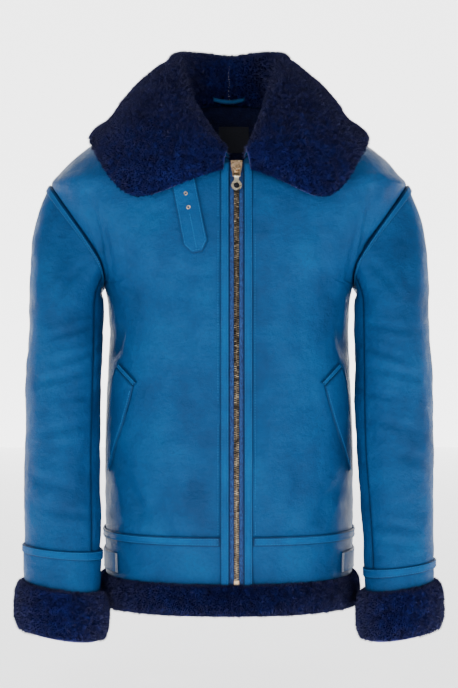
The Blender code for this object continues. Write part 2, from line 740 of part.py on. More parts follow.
def make_strap():
    outer, inner = [], []
    shares = (0.0, 0.12, 0.24, 0.36, 0.48, 0.60, 0.72, 0.84, 1.0)
    for share in shares:
        for grid, out in ((outer, STRAP_LIFT + STRAP_WALL), (inner, STRAP_LIFT)):
            row = []
            for k in range(-3, 4):
                across = STRAP_HALF * k / 3
                cut = 0.13 * max(0.0, abs(k) / 3 - 0.4) / 0.6 if share == 1.0 else 0.0
                row.append(strap_point(across, share - cut, out))
            grid.append(row)
    strap = wall("collar_strap", outer, inner, LEATHER)
    for n, share in enumerate(EYELETS):
        centre = strap_point(0, share, STRAP_LIFT + STRAP_WALL / 2 + 0.4)
        normal = (strap_point(0, share, 2.0) - strap_point(0, share, 0.0)).normalized()
        turn = normal.to_track_quat("Z", "Y").to_matrix().to_4x4()
        place = Matrix.Translation(centre * MM) @ turn
        cutter = tube_mesh(f"eyelet_cut_{n}", 0.0, 2.9, 12.0, place)
        CUTTERS.objects.link(cutter)
        cutter.hide_render = True
        cutter.display_type = "WIRE"
        cut = strap.modifiers.new(f"eyelet_{n}", "BOOLEAN")
        cut.operation, cut.solver, cut.object = "DIFFERENCE", "EXACT", cutter
        eyelet = tube_mesh(f"strap_eyelet_{n + 1}", 1.6, 2.6, STRAP_WALL + 0.8, place)
        eyelet.data.materials.append(METAL)
        PARTS.objects.link(eyelet)


def tube_mesh(name, bore, radius, length, place):
    """A short tube, or a plain cylinder when its bore is 0."""
    bm = bmesh.new()
    sides = 16
    circles = [(bore, -0.5), (radius, -0.5), (radius, 0.5), (bore, 0.5)] if bore else [(radius, -0.5), (radius, 0.5)]
    rings = []
    for r, level in circles:
        rings.append([
            bm.verts.new(place @ (Vector((r * math.cos(2 * math.pi * k / sides), r * math.sin(2 * math.pi * k / sides),
                                          level * length)) * MM))
            for k in range(sides)
        ])
    joins = len(rings) if bore else len(rings) - 1
    for j in range(joins):
        a, b = rings[j], rings[(j + 1) % len(rings)]
        for k in range(sides):
            bm.faces.new((a[k], a[(k + 1) % sides], b[(k + 1) % sides], b[k]))
    if not bore:
        bm.faces.new(rings[0])
        bm.faces.new(rings[1])
    bmesh.ops.recalc_face_normals(bm, faces=bm.faces)
    mesh = bpy.data.meshes.new(name)
    bm.to_mesh(mesh)
    bm.free()
    return bpy.data.objects.new(name, mesh)


# Zip: heights of the chain's two ends, its half width, and how deep the tape and the chain lie under the leather's face
CHAIN_TOP_Z = -93.0
CHAIN_END_Z = -640.0
CHAIN_HALF = 3.4
TAPE_FACE = -1.6
TAPE_WALL = 1.2
CHAIN_FACE = -0.6
CHAIN_WALL = 2.8


def make_zip():
    rows = 16
    tape_z = [NECK_FRONT_Z - 4.0 + (FUR_TOP_Z + 1.0 - NECK_FRONT_Z + 4.0) * k / rows for k in range(rows + 1)]
    chain_z = [CHAIN_TOP_Z + (CHAIN_END_Z - CHAIN_TOP_Z) * k / rows for k in range(rows + 1)]
    for side in ("right", "left"):
        sign = side_sign(side)
        start = ZIP_X + sign * (CHAIN_HALF + 0.4)
        end = front_edge(side) - sign * 0.4
        band(f"zip_tape_{side}", tape_z, -1, lambda z: start, lambda z: end, 1, TAPE_FACE - TAPE_WALL, TAPE_FACE,
             TAPE)
    band("zip_chain", chain_z, -1, lambda z: ZIP_X - CHAIN_HALF, lambda z: ZIP_X + CHAIN_HALF, 1,
         CHAIN_FACE - CHAIN_WALL, CHAIN_FACE, METAL)
    box_z = [CHAIN_END_Z - 0.4, CHAIN_END_Z - 7.0]
    band("zip_box", box_z, -1, lambda z: ZIP_X - CHAIN_HALF, lambda z: ZIP_X + CHAIN_HALF, 2,
         CHAIN_FACE - CHAIN_WALL, CHAIN_FACE + 0.8, METAL)


def zip_frame(z):
    """A frame on the zip's face at a height: X across, Y up along the zip, Z out of the face."""
    here = body_point(ZIP_X, z, -1)
    up = (body_point(ZIP_X, z + 8.0, -1) - body_point(ZIP_X, z - 8.0, -1)).normalized()
    out = Vector((1, 0, 0)).cross(up).normalized()
    across = up.cross(out)
    turn = Matrix((across, up, out)).transposed().to_4x4()
    return Matrix.Translation(here * MM) @ turn


def box_object(name, low, high, frame):
    """A block between two corners of a frame, in millimetres."""
    bm = bmesh.new()
    bmesh.ops.create_cube(bm, size=1.0)
    size = Vector(high) - Vector(low)
    middle = (Vector(high) + Vector(low)) / 2
    for v in bm.verts:
        v.co = frame @ (Vector((v.co.x * size.x, v.co.y * size.y, v.co.z * size.z)) * MM + middle * MM)
    mesh = bpy.data.meshes.new(name)
    bm.to_mesh(mesh)
    bm.free()
    return bpy.data.objects.new(name, mesh)


def join_with(target, tool):
    CUTTERS.objects.link(tool)
    tool.hide_render = True
    tool.display_type = "WIRE"
    join = target.modifiers.new(tool.name, "BOOLEAN")
    join.operation, join.solver, join.object = "UNION", "EXACT", tool


SLIDER_Z = -92.0
LINK_PIVOT = (-4.0, 4.6)
LINK_LENGTH = 11.5
LINK_HALF = 5.5
LINK_ROD = 0.85
PULL_LENGTH = 22.5


def make_slider():
    frame = zip_frame(SLIDER_Z)
    slider = plate("zip_slider", ((-7.6, 9.0), (7.6, 9.0), (7.6, 2.0), (5.6, -9.0), (-5.6, -9.0), (-7.6, 2.0)),
                   (CHAIN_FACE + 0.3, 3.0), frame)
    slider.data.materials.append(METAL)
    PARTS.objects.link(slider)
    rear = plate("slider_rear", ((-7.0, 9.0), (7.0, 9.0), (5.2, -9.0), (-5.2, -9.0)),
                 (CHAIN_FACE - CHAIN_WALL - 2.0, CHAIN_FACE - CHAIN_WALL - 0.4), frame)
    post = box_object("slider_post", (-1.6, 2.5, CHAIN_FACE - CHAIN_WALL - 1.0), (1.6, 8.0, 2.0), frame)
    join_with(slider, rear)
    join_with(slider, post)
    legs = ((-1.4, 4.5, 2.0), (1.4, 7.0, 7.2)), ((-1.4, -7.6, 2.0), (1.4, -5.9, 7.2)), ((-1.4, -7.6, 5.9), (1.4, 7.0, 7.6))
    for n, (low, high) in enumerate(legs):
        join_with(slider, box_object(f"slider_bridge_{n}", low, high, frame))
    return frame


def plate(name, outline, levels, frame):
    """A flat plate from an outline and two levels, in millimetres, on a frame."""
    bm = bmesh.new()
    rings = [[bm.verts.new(frame @ (Vector((x, y, level)) * MM)) for x, y in outline] for level in levels]
    for ring in rings:
        bm.faces.new(ring)
    count = len(outline)
    for k in range(count):
        bm.faces.new((rings[0][k], rings[0][(k + 1) % count], rings[1][(k + 1) % count], rings[1][k]))
    bmesh.ops.recalc_face_normals(bm, faces=bm.faces)
    mesh = bpy.data.meshes.new(name)
    bm.to_mesh(mesh)
    bm.free()
    return bpy.data.objects.new(name, mesh)


def rod_loop(name, half, low, high, level, radius, frame):
    """A rounded rectangular loop of round rod, given its outer edges."""
    half, low, high = half - radius, low + radius, high - radius
    corner = 1.3
    path = []
    for cx, cy, turn in ((half, high, 0), (-half, high, 90), (-half, low, 180), (half, low, 270)):
        inner = Vector((cx - math.copysign(corner, cx), cy - corner if cy == high else cy + corner))
        for k in range(4):
            a = math.radians(turn + 30 * k)
            path.append(Vector((inner.x + corner * math.cos(a), inner.y + corner * math.sin(a), level)))
    bm = bmesh.new()
    rings = []
    count, sides = len(path), 8
    for k, p in enumerate(path):
        ahead = (path[(k + 1) % count] - path[k - 1]).normalized()
        side = Vector((0, 0, 1)).cross(ahead).normalized()
        rings.append([
            bm.verts.new(frame @ ((p + side * (radius * math.cos(2 * math.pi * m / sides))
                                   + Vector((0, 0, radius * math.sin(2 * math.pi * m / sides)))) * MM))
            for m in range(sides)
        ])
    for k in range(count):
        a, b = rings[k], rings[(k + 1) % count]
        for m in range(sides):
            bm.faces.new((a[m], a[(m + 1) % sides], b[(m + 1) % sides], b[m]))
    bmesh.ops.recalc_face_normals(bm, faces=bm.faces)
    mesh = bpy.data.meshes.new(name)
    bm.to_mesh(mesh)
    bm.free()
    made = bpy.data.objects.new(name, mesh)
    mesh.materials.append(METAL)
    PARTS.objects.link(made)
    return made


def make_pull(frame):
    """The link hangs through the slider's bridge, and the pull tab hangs from the link."""
    pivot_y, level = LINK_PIVOT
    top = pivot_y - LINK_LENGTH
    rod_loop("zip_link", LINK_HALF, top - LINK_ROD, pivot_y + LINK_ROD, level, LINK_ROD, frame)
    half_thick = 0.9
    neck, bulb, end = 3.2, 7.1, top - PULL_LENGTH + 2.0
    middle = end + bulb
    outline = [(-neck, top - 1.7), (neck, top - 1.7), (neck, top - 6.0)]
    outline += [
        (bulb * math.cos(math.radians(a)), middle + bulb * math.sin(math.radians(a)))
        for a in range(40, -221, -20)
    ]
    outline += [(-neck, top - 6.0)]
    tab = plate("zip_pull", outline, (level - half_thick, level + half_thick), frame)
    tab.data.materials.append(METAL)
    PARTS.objects.link(tab)
    turn = Matrix.Rotation(math.pi / 2, 4, "Y")
    barrel_place = frame @ Matrix.Translation(Vector((0, top, level)) * MM) @ turn
    join_with(tab, tube_mesh("pull_barrel", LINK_ROD + 0.35, LINK_ROD + 1.3, 2 * neck, barrel_place))
    recess_place = frame @ Matrix.Translation(Vector((0, middle, level + half_thick)) * MM)
    recess = tube_mesh("pull_recess", 0.0, 4.2, 1.4, recess_place)
    CUTTERS.objects.link(recess)
    recess.hide_render = True
    recess.display_type = "WIRE"
    cut = tab.modifiers.new("recess", "BOOLEAN")
    cut.operation, cut.solver, cut.object = "DIFFERENCE", "EXACT", recess
    disc_place = frame @ Matrix.Translation(Vector((0, middle, level + half_thick)) * MM)
    disc = tube_mesh("zip_pull_disc", 0.0, 3.8, 0.8, disc_place)
    disc.data.materials.append(DARK_METAL)
    PARTS.objects.link(disc)


LOOP_HALF = 22.5


def make_hang_loop():
    """The leather loop sewn into the neck seam at the back, sagging a little between its ends."""
    outer, inner = [], []
    for k in range(9):
        x = -LOOP_HALF + 2 * LOOP_HALF * k / 8
        sag = 4.0 * (1 - (x / LOOP_HALF) ** 2)
        back = section_point(angle_at(x, NECK_BACK_Z - 2.0), NECK_BACK_Z - 2.0, 1).y
        y = back - 13.0 - 2.5 * (1 - (x / LOOP_HALF) ** 2)
        for grid, shift in ((outer, 0.0), (inner, 1.6)):
            grid.append([Vector((x, y + shift, NECK_BACK_Z + 8.0 - sag + dz)) for dz in (-3.0, 3.0)])
    wall("hang_loop", outer, inner, LEATHER)


def make_label():
    """The plain woven label inside the back of the neck."""
    outer, inner = [], []
    for z in (-10.0, -22.0, -34.0, -46.0):
        for grid, out in ((outer, -BODY_WALL - PATCH_LIFT), (inner, -BODY_WALL - PATCH_LIFT - 1.2)):
            row = body_row(-15.0, 29.0, z, 1, 4, out, out, SEAM_GAP / 2)[0]
            grid.append(row)
    wall("neck_label", outer, inner, LABEL)


def clear_scene():
    for obj in list(bpy.data.objects):
        bpy.data.objects.remove(obj)


def new_collection(name):
    made = bpy.data.collections.new(name)
    bpy.context.scene.collection.children.link(made)
    return made


clear_scene()
PARTS = new_collection("flying_jacket")
CUTTERS = new_collection("cutters")
LEATHER = material("blue_leather", BLUE, 0.42)
WOOL = material("navy_wool", NAVY, 0.95)
METAL = material("zip_metal", BRASS, 0.3, 1.0)
DARK_METAL = material("dark_disc", DARK, 0.4)
TAPE = material("zip_tape", (0.008, 0.05, 0.22), 0.8)
LABEL = material("label_cloth", DARK, 0.8)

make_fronts()
make_back()
make_waist()
make_fur_hem()
make_front_strips()
make_sleeves()
make_cuffs()
make_collar()
make_pockets()
make_side_tabs()
make_strap()
make_zip()
make_pull(make_slider())
make_hang_loop()
make_label()
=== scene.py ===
"""The looks of the sheepskin flying jacket: leather panels with their creases, seams and stitching, clipped
wool at collar, cuffs and hem, and the front zip. Sizes are in millimetres; MM turns them into metres."""

import math

import bmesh
import bpy
import numpy as np
from mathutils import Matrix, Vector, noise


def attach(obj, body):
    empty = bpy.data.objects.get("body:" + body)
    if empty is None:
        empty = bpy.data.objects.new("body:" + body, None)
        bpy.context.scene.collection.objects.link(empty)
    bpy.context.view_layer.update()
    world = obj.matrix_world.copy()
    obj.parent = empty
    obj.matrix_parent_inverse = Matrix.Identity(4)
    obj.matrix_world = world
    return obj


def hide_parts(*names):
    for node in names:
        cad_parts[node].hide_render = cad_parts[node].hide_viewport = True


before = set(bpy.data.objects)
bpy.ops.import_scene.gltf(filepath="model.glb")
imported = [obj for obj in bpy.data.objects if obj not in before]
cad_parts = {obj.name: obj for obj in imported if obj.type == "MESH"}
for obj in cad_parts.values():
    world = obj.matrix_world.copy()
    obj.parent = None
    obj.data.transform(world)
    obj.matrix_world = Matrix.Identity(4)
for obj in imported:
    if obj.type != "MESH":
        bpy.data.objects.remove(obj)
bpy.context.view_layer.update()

MM = 0.001

# Driving sizes, in millimetres
BODY_WALL = 6.0
SLEEVE_WALL = 5.0
STRIP_WALL = 1.8
SEAM_GAP = 0.5
LIFT = 0.4
PATCH_LIFT = 0.8
WAIST_SEAM_Z = -589.0
FUR_TOP_Z = -648.0
HEM_Z = -689.0
ARMPIT_Z = -245.0
NECK_FRONT_Z = -80.0
NECK_BACK_Z = 16.0
SIDE_SEAM_Y = 20.0
ROUNDNESS = 2.4
ZIP_X = 10.0
ZIP_GAP = 9.5
STRIP_WIDTH = 12.0
COLLAR_WOOL = 11.0
COLLAR_GAP = 1.7

# Body sections: height, half width, depth from the side seam to the front and to the back
BODY = (
    (16.0, 85.0, 58.0, 62.0),
    (0.0, 85.0, 60.0, 64.0),
    (-8.0, 106.0, 76.0, 69.0),
    (-18.0, 132.0, 92.0, 75.0),
    (-30.0, 158.0, 106.0, 82.0),
    (-45.0, 185.0, 118.0, 90.0),
    (-60.0, 208.0, 128.0, 97.0),
    (-75.0, 226.0, 135.5, 102.0),
    (-90.0, 240.0, 142.0, 106.0),
    (-104.0, 250.0, 147.0, 108.5),
    (-130.0, 241.0, 155.0, 112.5),
    (-160.0, 226.0, 161.5, 115.5),
    (-190.0, 210.0, 166.0, 117.5),
    (-215.0, 195.0, 168.5, 118.0),
    (-235.0, 180.0, 170.0, 118.0),
    (-245.0, 175.5, 170.5, 118.0),
    (-275.0, 170.0, 171.0, 118.0),
    (-330.0, 169.0, 171.5, 117.0),
    (-400.0, 171.5, 172.0, 115.5),
    (-480.0, 174.0, 172.0, 114.0),
    (-550.0, 175.0, 171.0, 113.0),
    (-589.0, 174.0, 169.0, 112.0),
    (-620.0, 172.5, 167.0, 111.0),
    (-648.0, 172.0, 166.0, 111.0),
    (-700.0, 172.0, 165.0, 111.0),
)

# Armhole seam on the body: height, distance from the middle
ARMHOLE = (
    (-104.0, 250.0),
    (-112.0, 245.0),
    (-125.0, 236.0),
    (-150.0, 218.0),
    (-175.0, 200.0),
    (-200.0, 183.5),
    (-218.0, 174.0),
    (-232.0, 171.5),
    (-240.0, 172.0),
    (-245.0, 175.5),
)

# Front neckline: height, distance from the middle
NECK_FRONT = (
    (0.0, 85.0),
    (-2.0, 81.5),
    (-8.0, 75.0),
    (-18.0, 66.0),
    (-30.0, 56.0),
    (-43.0, 45.0),
    (-57.0, 32.5),
    (-70.0, 20.0),
    (-80.0, 9.5),
)

# Back neckline: height, distance from the middle
NECK_BACK = ((0.0, 85.0), (5.0, 74.0), (11.0, 50.0), (14.5, 24.0), (16.0, 0.0))

# Large folds of the body front: where each trough starts and ends (distance across, height), its half width
# and depth
BODY_FOLDS = (
    (-196.0, -118.0, -171.0, -205.0, 9.0, 5.0),
    (206.0, -95.0, 182.0, -200.0, 9.0, 4.5),
    (-158.0, -300.0, -146.0, -345.0, 16.0, 3.0),
    (158.0, -296.0, 150.0, -350.0, 16.0, 3.0),
    (44.0, -190.0, 40.0, -470.0, 17.0, 3.5),
    (-150.0, -475.0, -120.0, -565.0, 18.0, 3.0),
    (150.0, -500.0, 118.0, -570.0, 18.0, 3.0),
)

# Sleeve sections, wearer's right and left: height, outer and inner distance across, middle and half depth
# fore and aft
SLEEVE = {
    "right": (
        (-275.0, 277.0, 173.0, -30.0, 64.0),
        (-327.0, 278.0, 173.0, -40.0, 64.0),
        (-405.0, 280.0, 174.5, -50.0, 63.0),
        (-473.0, 280.0, 175.5, -59.0, 61.0),
        (-541.0, 279.5, 174.5, -68.0, 59.0),
        (-602.0, 278.5, 173.5, -76.0, 57.0),
        (-662.0, 278.0, 175.0, -82.0, 56.0),
        (-725.0, 277.0, 176.0, -88.0, 55.0),
    ),
    "left": (
        (-275.0, 276.5, 173.0, -30.0, 64.0),
        (-327.0, 279.0, 172.5, -40.0, 64.0),
        (-405.0, 280.0, 172.5, -50.0, 63.0),
        (-473.0, 280.0, 174.0, -59.0, 61.0),
        (-541.0, 279.5, 179.0, -68.0, 58.0),
        (-602.0, 279.0, 183.0, -76.0, 55.0),
        (-662.0, 278.0, 185.0, -82.0, 53.0),
        (-725.0, 277.0, 185.0, -88.0, 52.0),
    ),
}
CUFF_SEAM_Z = {"right": -608.0, "left": -630.0}
CUFF_TILT = 0.16
FUR_CUFF_TOP_Z = -656.0
FUR_CUFF_END_Z = -720.5
CUFF_FULLNESS = 1.25
SLEEVE_START = Vector((0.5, -0.05, -0.86))
ARMHOLE_CENTRE = Vector((212.0, 12.0, -175.0))

# Collar ribs from the front end to the middle of the back: neckline height, crest (across, fore and aft,
# height),
# outer edge (across, height), and whether the edge lies on the front (-1) or the back (1)
COLLAR = (
    (-80.0, 13.0, -127.0, -67.0, 16.5, -95.0, -1),
    (-70.0, 25.0, -123.0, -52.0, 44.0, -101.0, -1),
    (-57.0, 36.0, -113.0, -36.0, 76.0, -121.0, -1),
    (-43.0, 45.0, -101.0, -18.0, 104.0, -138.0, -1),
    (-30.0, 53.0, -86.0, -1.0, 127.0, -139.0, -1),
    (-18.0, 60.0, -66.0, 20.0, 147.0, -119.0, -1),
    (-8.0, 67.0, -42.0, 42.0, 157.0, -88.0, -1),
    (-2.0, 75.0, -12.0, 64.0, 161.0, -58.0, -1),
    (0.0, 79.0, 22.0, 80.0, 158.0, -38.0, 1),
    (5.0, 66.0, 54.0, 88.0, 134.0, -35.0, 1),
    (11.0, 41.0, 74.0, 89.5, 80.0, -36.0, 1),
    (14.5, 20.0, 82.0, 88.0, 38.0, -39.0, 1),
    (16.0, 0.0, 83.0, 86.0, 0.0, -40.0, 1),
)
COLLAR_STATIONS = 19

# Pocket on each side: inner edge and outer edge of the patch, top to bottom (distance across, height)
POCKET_INNER = ((127.0, -384.0), (132.0, -404.0), (140.0, -431.0), (153.0, -469.0), (163.0, -502.0))
POCKET_OUTER = ((151.5, -359.0), (158.0, -378.0), (162.5, -408.0), (165.0, -450.0), (167.0, -500.0))

def smooth_table(rows, key, column):
    """A column of a table at a height between its rows, on a smooth curve through them. Heights fall down
    the table."""
    if key >= rows[0][0]:
        return rows[0][column]
    if key <= rows[-1][0]:
        return rows[-1][column]
    i = max(k for k in range(len(rows) - 1) if rows[k][0] >= key)
    x0, x1 = rows[i][0], rows[i + 1][0]
    y0, y1 = rows[i][column], rows[i + 1][column]
    span = x1 - x0
    slope = (y1 - y0) / span

    def end_slope(j):
        if j <= 0 or j >= len(rows) - 1:
            return slope
        before = (rows[j][column] - rows[j - 1][column]) / (rows[j][0] - rows[j - 1][0])
        after = (rows[j + 1][column] - rows[j][column]) / (rows[j + 1][0] - rows[j][0])
        return 0.0 if before * after <= 0 else 2 * before * after / (before + after)

    t = (key - x0) / span
    h00, h10 = 2 * t**3 - 3 * t**2 + 1, t**3 - 2 * t**2 + t
    h01, h11 = 3 * t**2 - 2 * t**3, t**3 - t**2
    return h00 * y0 + h10 * span * end_slope(i) + h01 * y1 + h11 * span * end_slope(i + 1)


def along(points, share):
    """A point at a share of the way along a list of equally weighted points."""
    place = share * (len(points) - 1)
    i = min(int(place), len(points) - 2)
    return tuple(a + (b - a) * (place - i) for a, b in zip(points[i], points[i + 1]))


def fold_depth(x, z):
    """How deep the large folds of the front are at a place."""
    total = 0.0
    for x0, z0, x1, z1, width, depth in BODY_FOLDS:
        run = Vector((x1 - x0, z1 - z0))
        t = ((x - x0) * run.x + (z - z0) * run.y) / run.length_squared
        held = min(1.0, max(0.0, t))
        away = math.hypot(x - x0 - run.x * held, z - z0 - run.y * held)
        taper = math.sin(math.pi * held) ** 0.5 if 0.0 < t < 1.0 else 0.0
        total += depth * taper * math.exp(-((away / width) ** 2))
    return total


def section_point(angle, z, face):
    """A point of the plain body. Angle 0 is the middle front or back and pi/2 the side; face is -1 front, 1
    back."""
    half = smooth_table(BODY, z, 1)
    depth = smooth_table(BODY, z, 2 if face < 0 else 3)
    s, c = math.sin(angle), math.cos(angle)
    x = half * math.copysign(abs(s) ** (2 / ROUNDNESS), s)
    y = SIDE_SEAM_Y + face * depth * math.copysign(abs(c) ** (2 / ROUNDNESS), c)
    return Vector((x, y, z))


def angle_at(x, z):
    """The angle of the body section at a distance across."""
    share = min(1.0, abs(x) / smooth_table(BODY, z, 1))
    return math.copysign(math.asin(share ** (ROUNDNESS / 2)), x)


def body_normal(angle, z, face):
    step, rise = 0.02, 1.5
    across = section_point(angle + step, z, face) - section_point(angle - step, z, face)
    up = section_point(angle, z + rise, face) - section_point(angle, z - rise, face)
    normal = up.cross(across) if face > 0 else across.cross(up)
    return normal.normalized()


def body_point(x, z, face, out=0.0):
    """A point of the body's outer surface at a distance across and a height, moved out by a distance."""
    angle = angle_at(x, z)
    normal = body_normal(angle, z, face)
    sink = fold_depth(x, z) if face < 0 else 0.0
    return section_point(angle, z, face) + normal * (out - sink)


def armhole_x(z):
    return smooth_table(ARMHOLE, z, 1)


def side_limit(z):
    """Where the panels end at the side: the side seam, the armhole or the shoulder seam."""
    if ARMPIT_Z < z < ARMHOLE[0][0]:
        return armhole_x(z)
    return smooth_table(BODY, z, 1)


def seam_normal(z, face):
    """The way out at the wearer's left armhole seam, midway between the body's and the sleeve's own."""
    angle = angle_at(armhole_x(z), z)
    away = section_point(angle, z, face) - ARMHOLE_CENTRE
    along_sleeve = SLEEVE_START.normalized()
    sleeve_normal = (away - along_sleeve * away.dot(along_sleeve)).normalized()
    return (body_normal(angle, z, face) + sleeve_normal).normalized()


def side_sign(side):
    return -1.0 if side == "right" else 1.0


def front_edge(side):
    """Where a front piece ends beside the zip."""
    return ZIP_X + side_sign(side) * ZIP_GAP


def neck_start(side, z):
    """Where a front row starts: the zip's edge below the neckline, the neckline above it."""
    if z <= NECK_FRONT_Z:
        return front_edge(side)
    share = min(1.0, (z - NECK_FRONT_Z) / 60.0)
    return side_sign(side) * smooth_table(NECK_FRONT, z, 1) + ZIP_X * (1 - share)


# Turned wool edge, seen in section: how far down it is as a share of its height, and how far it stands out
# of the skin
FUR_OUT = ((0.0, -1.0), (0.03, 5.0), (0.32, 8.5), (0.72, 8.5), (0.95, 4.0))
FUR_IN = ((0.0, -7.0), (0.12, -9.5), (0.45, -12.0), (0.88, -10.5), (1.0, -3.5))


def sleeve_section(side, z, angle):
    """A point of the sleeve's outer surface below the armhole. Angle 0 faces out, pi/2 the front, pi the
    body."""
    rows = SLEEVE[side]
    out, back = smooth_table(rows, z, 1), smooth_table(rows, z, 2)
    x = (out + back) / 2 + (out - back) / 2 * math.cos(angle)
    y = smooth_table(rows, z, 3) - smooth_table(rows, z, 4) * math.sin(angle)
    tilt = CUFF_TILT * min(1.0, max(0.0, (-560.0 - z) / 80.0))
    return Vector((side_sign(side) * x, y, z + tilt * (x - (out + back) / 2)))


def offset_sleeve(side, z, angle, depth):
    rows = SLEEVE[side]
    centre = (smooth_table(rows, z, 1) + smooth_table(rows, z, 2)) / 2 * side_sign(side)
    p = sleeve_section(side, z, angle)
    inward = Vector((centre - p.x, smooth_table(rows, z, 3) - p.y, 0)).normalized()
    return p + inward * depth


def inside_body(p, lift):
    """Whether a point lies inside the body once the body is grown by a distance."""
    for q in (Vector((p.x, p.y, p.z - lift)), p):
        if q.z > NECK_BACK_Z:
            continue
        half = smooth_table(BODY, q.z, 1) + lift
        depth = smooth_table(BODY, q.z, 2 if q.y < SIDE_SEAM_Y else 3) + lift
        if (abs(q.x) / half) ** ROUNDNESS + (abs(q.y - SIDE_SEAM_Y) / depth) ** ROUNDNESS < 1.0:
            return True
    return False


def rest_on_body(p, outward, lift):
    """A point moved out and up until it is clear of the body."""
    step = (outward + Vector((0, 0, 0.6))).normalized() * 0.5
    for _ in range(200):
        if not inside_body(p, lift):
            break
        p = p + step
    return p


def collar_rib(row, side):
    """Wool side and skin side of the collar at one rib, from the neckline up over the crest and down to the
    edge."""
    base_z, crest_x, crest_y, crest_z, edge_x, edge_z, face = row
    sign = side_sign(side)
    on_front = base_z < 0 or (base_z == 0 and face < 0)
    shift = ZIP_X * max(0.0, 1 - max(0.0, base_z - NECK_FRONT_Z) / 60.0)
    neck = smooth_table(NECK_FRONT, base_z, 1) if on_front else neck_back_x(base_z)
    neck_x = sign * neck + shift
    neck_face = -1 if on_front else 1
    angle = angle_at(neck_x, base_z)
    normal = body_normal(angle, base_z, neck_face)
    base = section_point(angle, base_z, neck_face)
    crest = Vector((sign * crest_x + shift, crest_y, crest_z))
    edge = section_point(angle_at(sign * edge_x + shift, edge_z), edge_z, face)
    out = Vector((edge.x - base.x * 0.6, edge.y - base.y * 0.6, 0)).normalized()
    rise = (crest - base).normalized()
    base = base + rise * COLLAR_GAP
    up = Vector((0, 0, 1))
    full = COLLAR_WOOL * min(1.0, 0.36 + (base_z - NECK_FRONT_Z) / 40.0)
    skin_crest = crest - up * full
    height = (skin_crest - base).length
    mid = base.lerp(skin_crest, 0.5) - out * min(3.0, height * 0.05)
    edge = rest_on_body(edge, out, 4.0)
    fold = skin_crest + out * (full * 0.32) - up * 1.0
    drop = (edge - fold).length
    turn = fold + out * (drop * 0.22) - up * (drop * 0.08)
    land = edge + up * (drop * 0.30) + out * (drop * 0.02)
    fall = []
    for t in (0.06, 0.22, 0.40, 0.58, 0.76, 0.90, 1.0):
        p = fold * (1 - t) ** 3 + turn * 3 * t * (1 - t) ** 2 + land * 3 * t * t * (1 - t) + edge * t**3
        fall.append(rest_on_body(p, out, 4.0))
    skin = [base - normal * 0.3, mid, skin_crest - up * (full * 0.18), skin_crest + up * (full * 0.1) + out,
            fold]
    skin += fall
    wool = [base - normal * (full * 0.8), mid - out * full, skin_crest - up * (full * 0.18) - out * full]
    wool += [crest - out * (full * 0.36), crest + out * (full * 0.75) - up * (full * 0.14)]
    for k, p in enumerate(fall):
        ahead = fall[min(k + 1, len(fall) - 1)] - (fall[k - 1] if k else fold)
        tangent = ahead.normalized()
        away = (out - tangent * out.dot(tangent)).normalized()
        thick = max(3.2, full * (1.0, 1.05, 1.08, 1.08, 1.02, 0.85, 0.4)[k])
        wool.append(p + away * thick)
    tip = (edge - fall[-2]).normalized()
    wool[-1] = wool[-1] + tip * 4.0
    skin[-1] = skin[-1] + tip * 3.0
    return wool, skin


def neck_back_x(z):
    rows = tuple(reversed(NECK_BACK))
    return smooth_table(rows, z, 1)


def resample(ribs, count):
    """Ribs interpolated on a smooth curve through the given ones."""
    last = len(ribs) - 1
    made = []
    for k in range(count + 1):
        place = k / count * last
        i = min(int(place), last - 1)
        t = place - i
        p0, p1, p2, p3 = (ribs[min(last, max(0, j))] for j in (i - 1, i, i + 1, i + 2))
        made.append([
            0.5 * (2 * b + (c - a) * t + (2 * a - 5 * b + 4 * c - d) * t * t
                   + (3 * b - a - 3 * c + d) * t**3)
            for a, b, c, d in zip(p0, p1, p2, p3)
        ])
    return made


def even_out(grid):
    """Smooth a grid of ribs along the collar's length, all but its seam with the neck."""
    for k in range(1, len(grid[0])):
        column = [rib[k].copy() for rib in grid]
        for i in range(1, len(grid) - 1):
            grid[i][k] = (column[i - 1] + column[i] * 2 + column[i + 1]) / 4


def settle_fall(skin, wool):
    """Even out the collar's fall along its length, then clear it of the body. The wool moves with its
    skin."""
    last = len(skin) - 1
    for k in range(5, len(skin[0])):
        column = [rib[k].copy() for rib in skin]
        for i in range(last + 1):
            p = skin[i][k]
            moved = (column[i - 1] + column[i] * 2 + column[i + 1]) / 4 if 0 < i < last else p
            lift = 4.0 + 3.0 * min(1.0, max(0.0, (abs(moved.x) - 120.0) / 40.0))
            moved = rest_on_body(moved, Vector((moved.x, moved.y - SIDE_SEAM_Y, 0)).normalized(), lift)
            skin[i][k], wool[i][k] = moved, wool[i][k] + (moved - p)


FRONT_COLUMNS = 14
BACK_COLUMNS = 20
TAB_FROM = 9
TAB_BACK = 4


# Collar strap: where its middle line starts under the collar and where it ends (distance across, height)
STRAP_TOP = (-62.0, -104.0)
STRAP_TIP = (-41.5, -207.0)
STRAP_HALF = 16.5
STRAP_WALL = 2.4
STRAP_LIFT = 0.9


def strap_point(across, share, out):
    top, tip = Vector(STRAP_TOP), Vector(STRAP_TIP)
    run = tip - top
    side = Vector((-run.y, run.x)).normalized()
    place = top + run * share + side * across
    return body_point(place.x, place.y, -1, out)


# Zip: heights of the chain's two ends, and how deep the tape and the chain lie under the leather's
# face
CHAIN_TOP_Z = -93.0
CHAIN_END_Z = -640.0
CHAIN_FACE = -0.6


LOOP_HALF = 22.5


camera = bpy.data.objects.new("camera", bpy.data.cameras.new("camera"))
bpy.context.scene.collection.objects.link(camera)
camera.location = (0.0, -2.6, -0.3276)
camera.rotation_euler = (math.pi / 2, 0.0, 0.0)
camera.data.sensor_fit = "VERTICAL"
camera.data.sensor_height = 24.0
camera.data.lens = 12.0 * 2600.0 / 481.6
bpy.context.scene.camera = camera


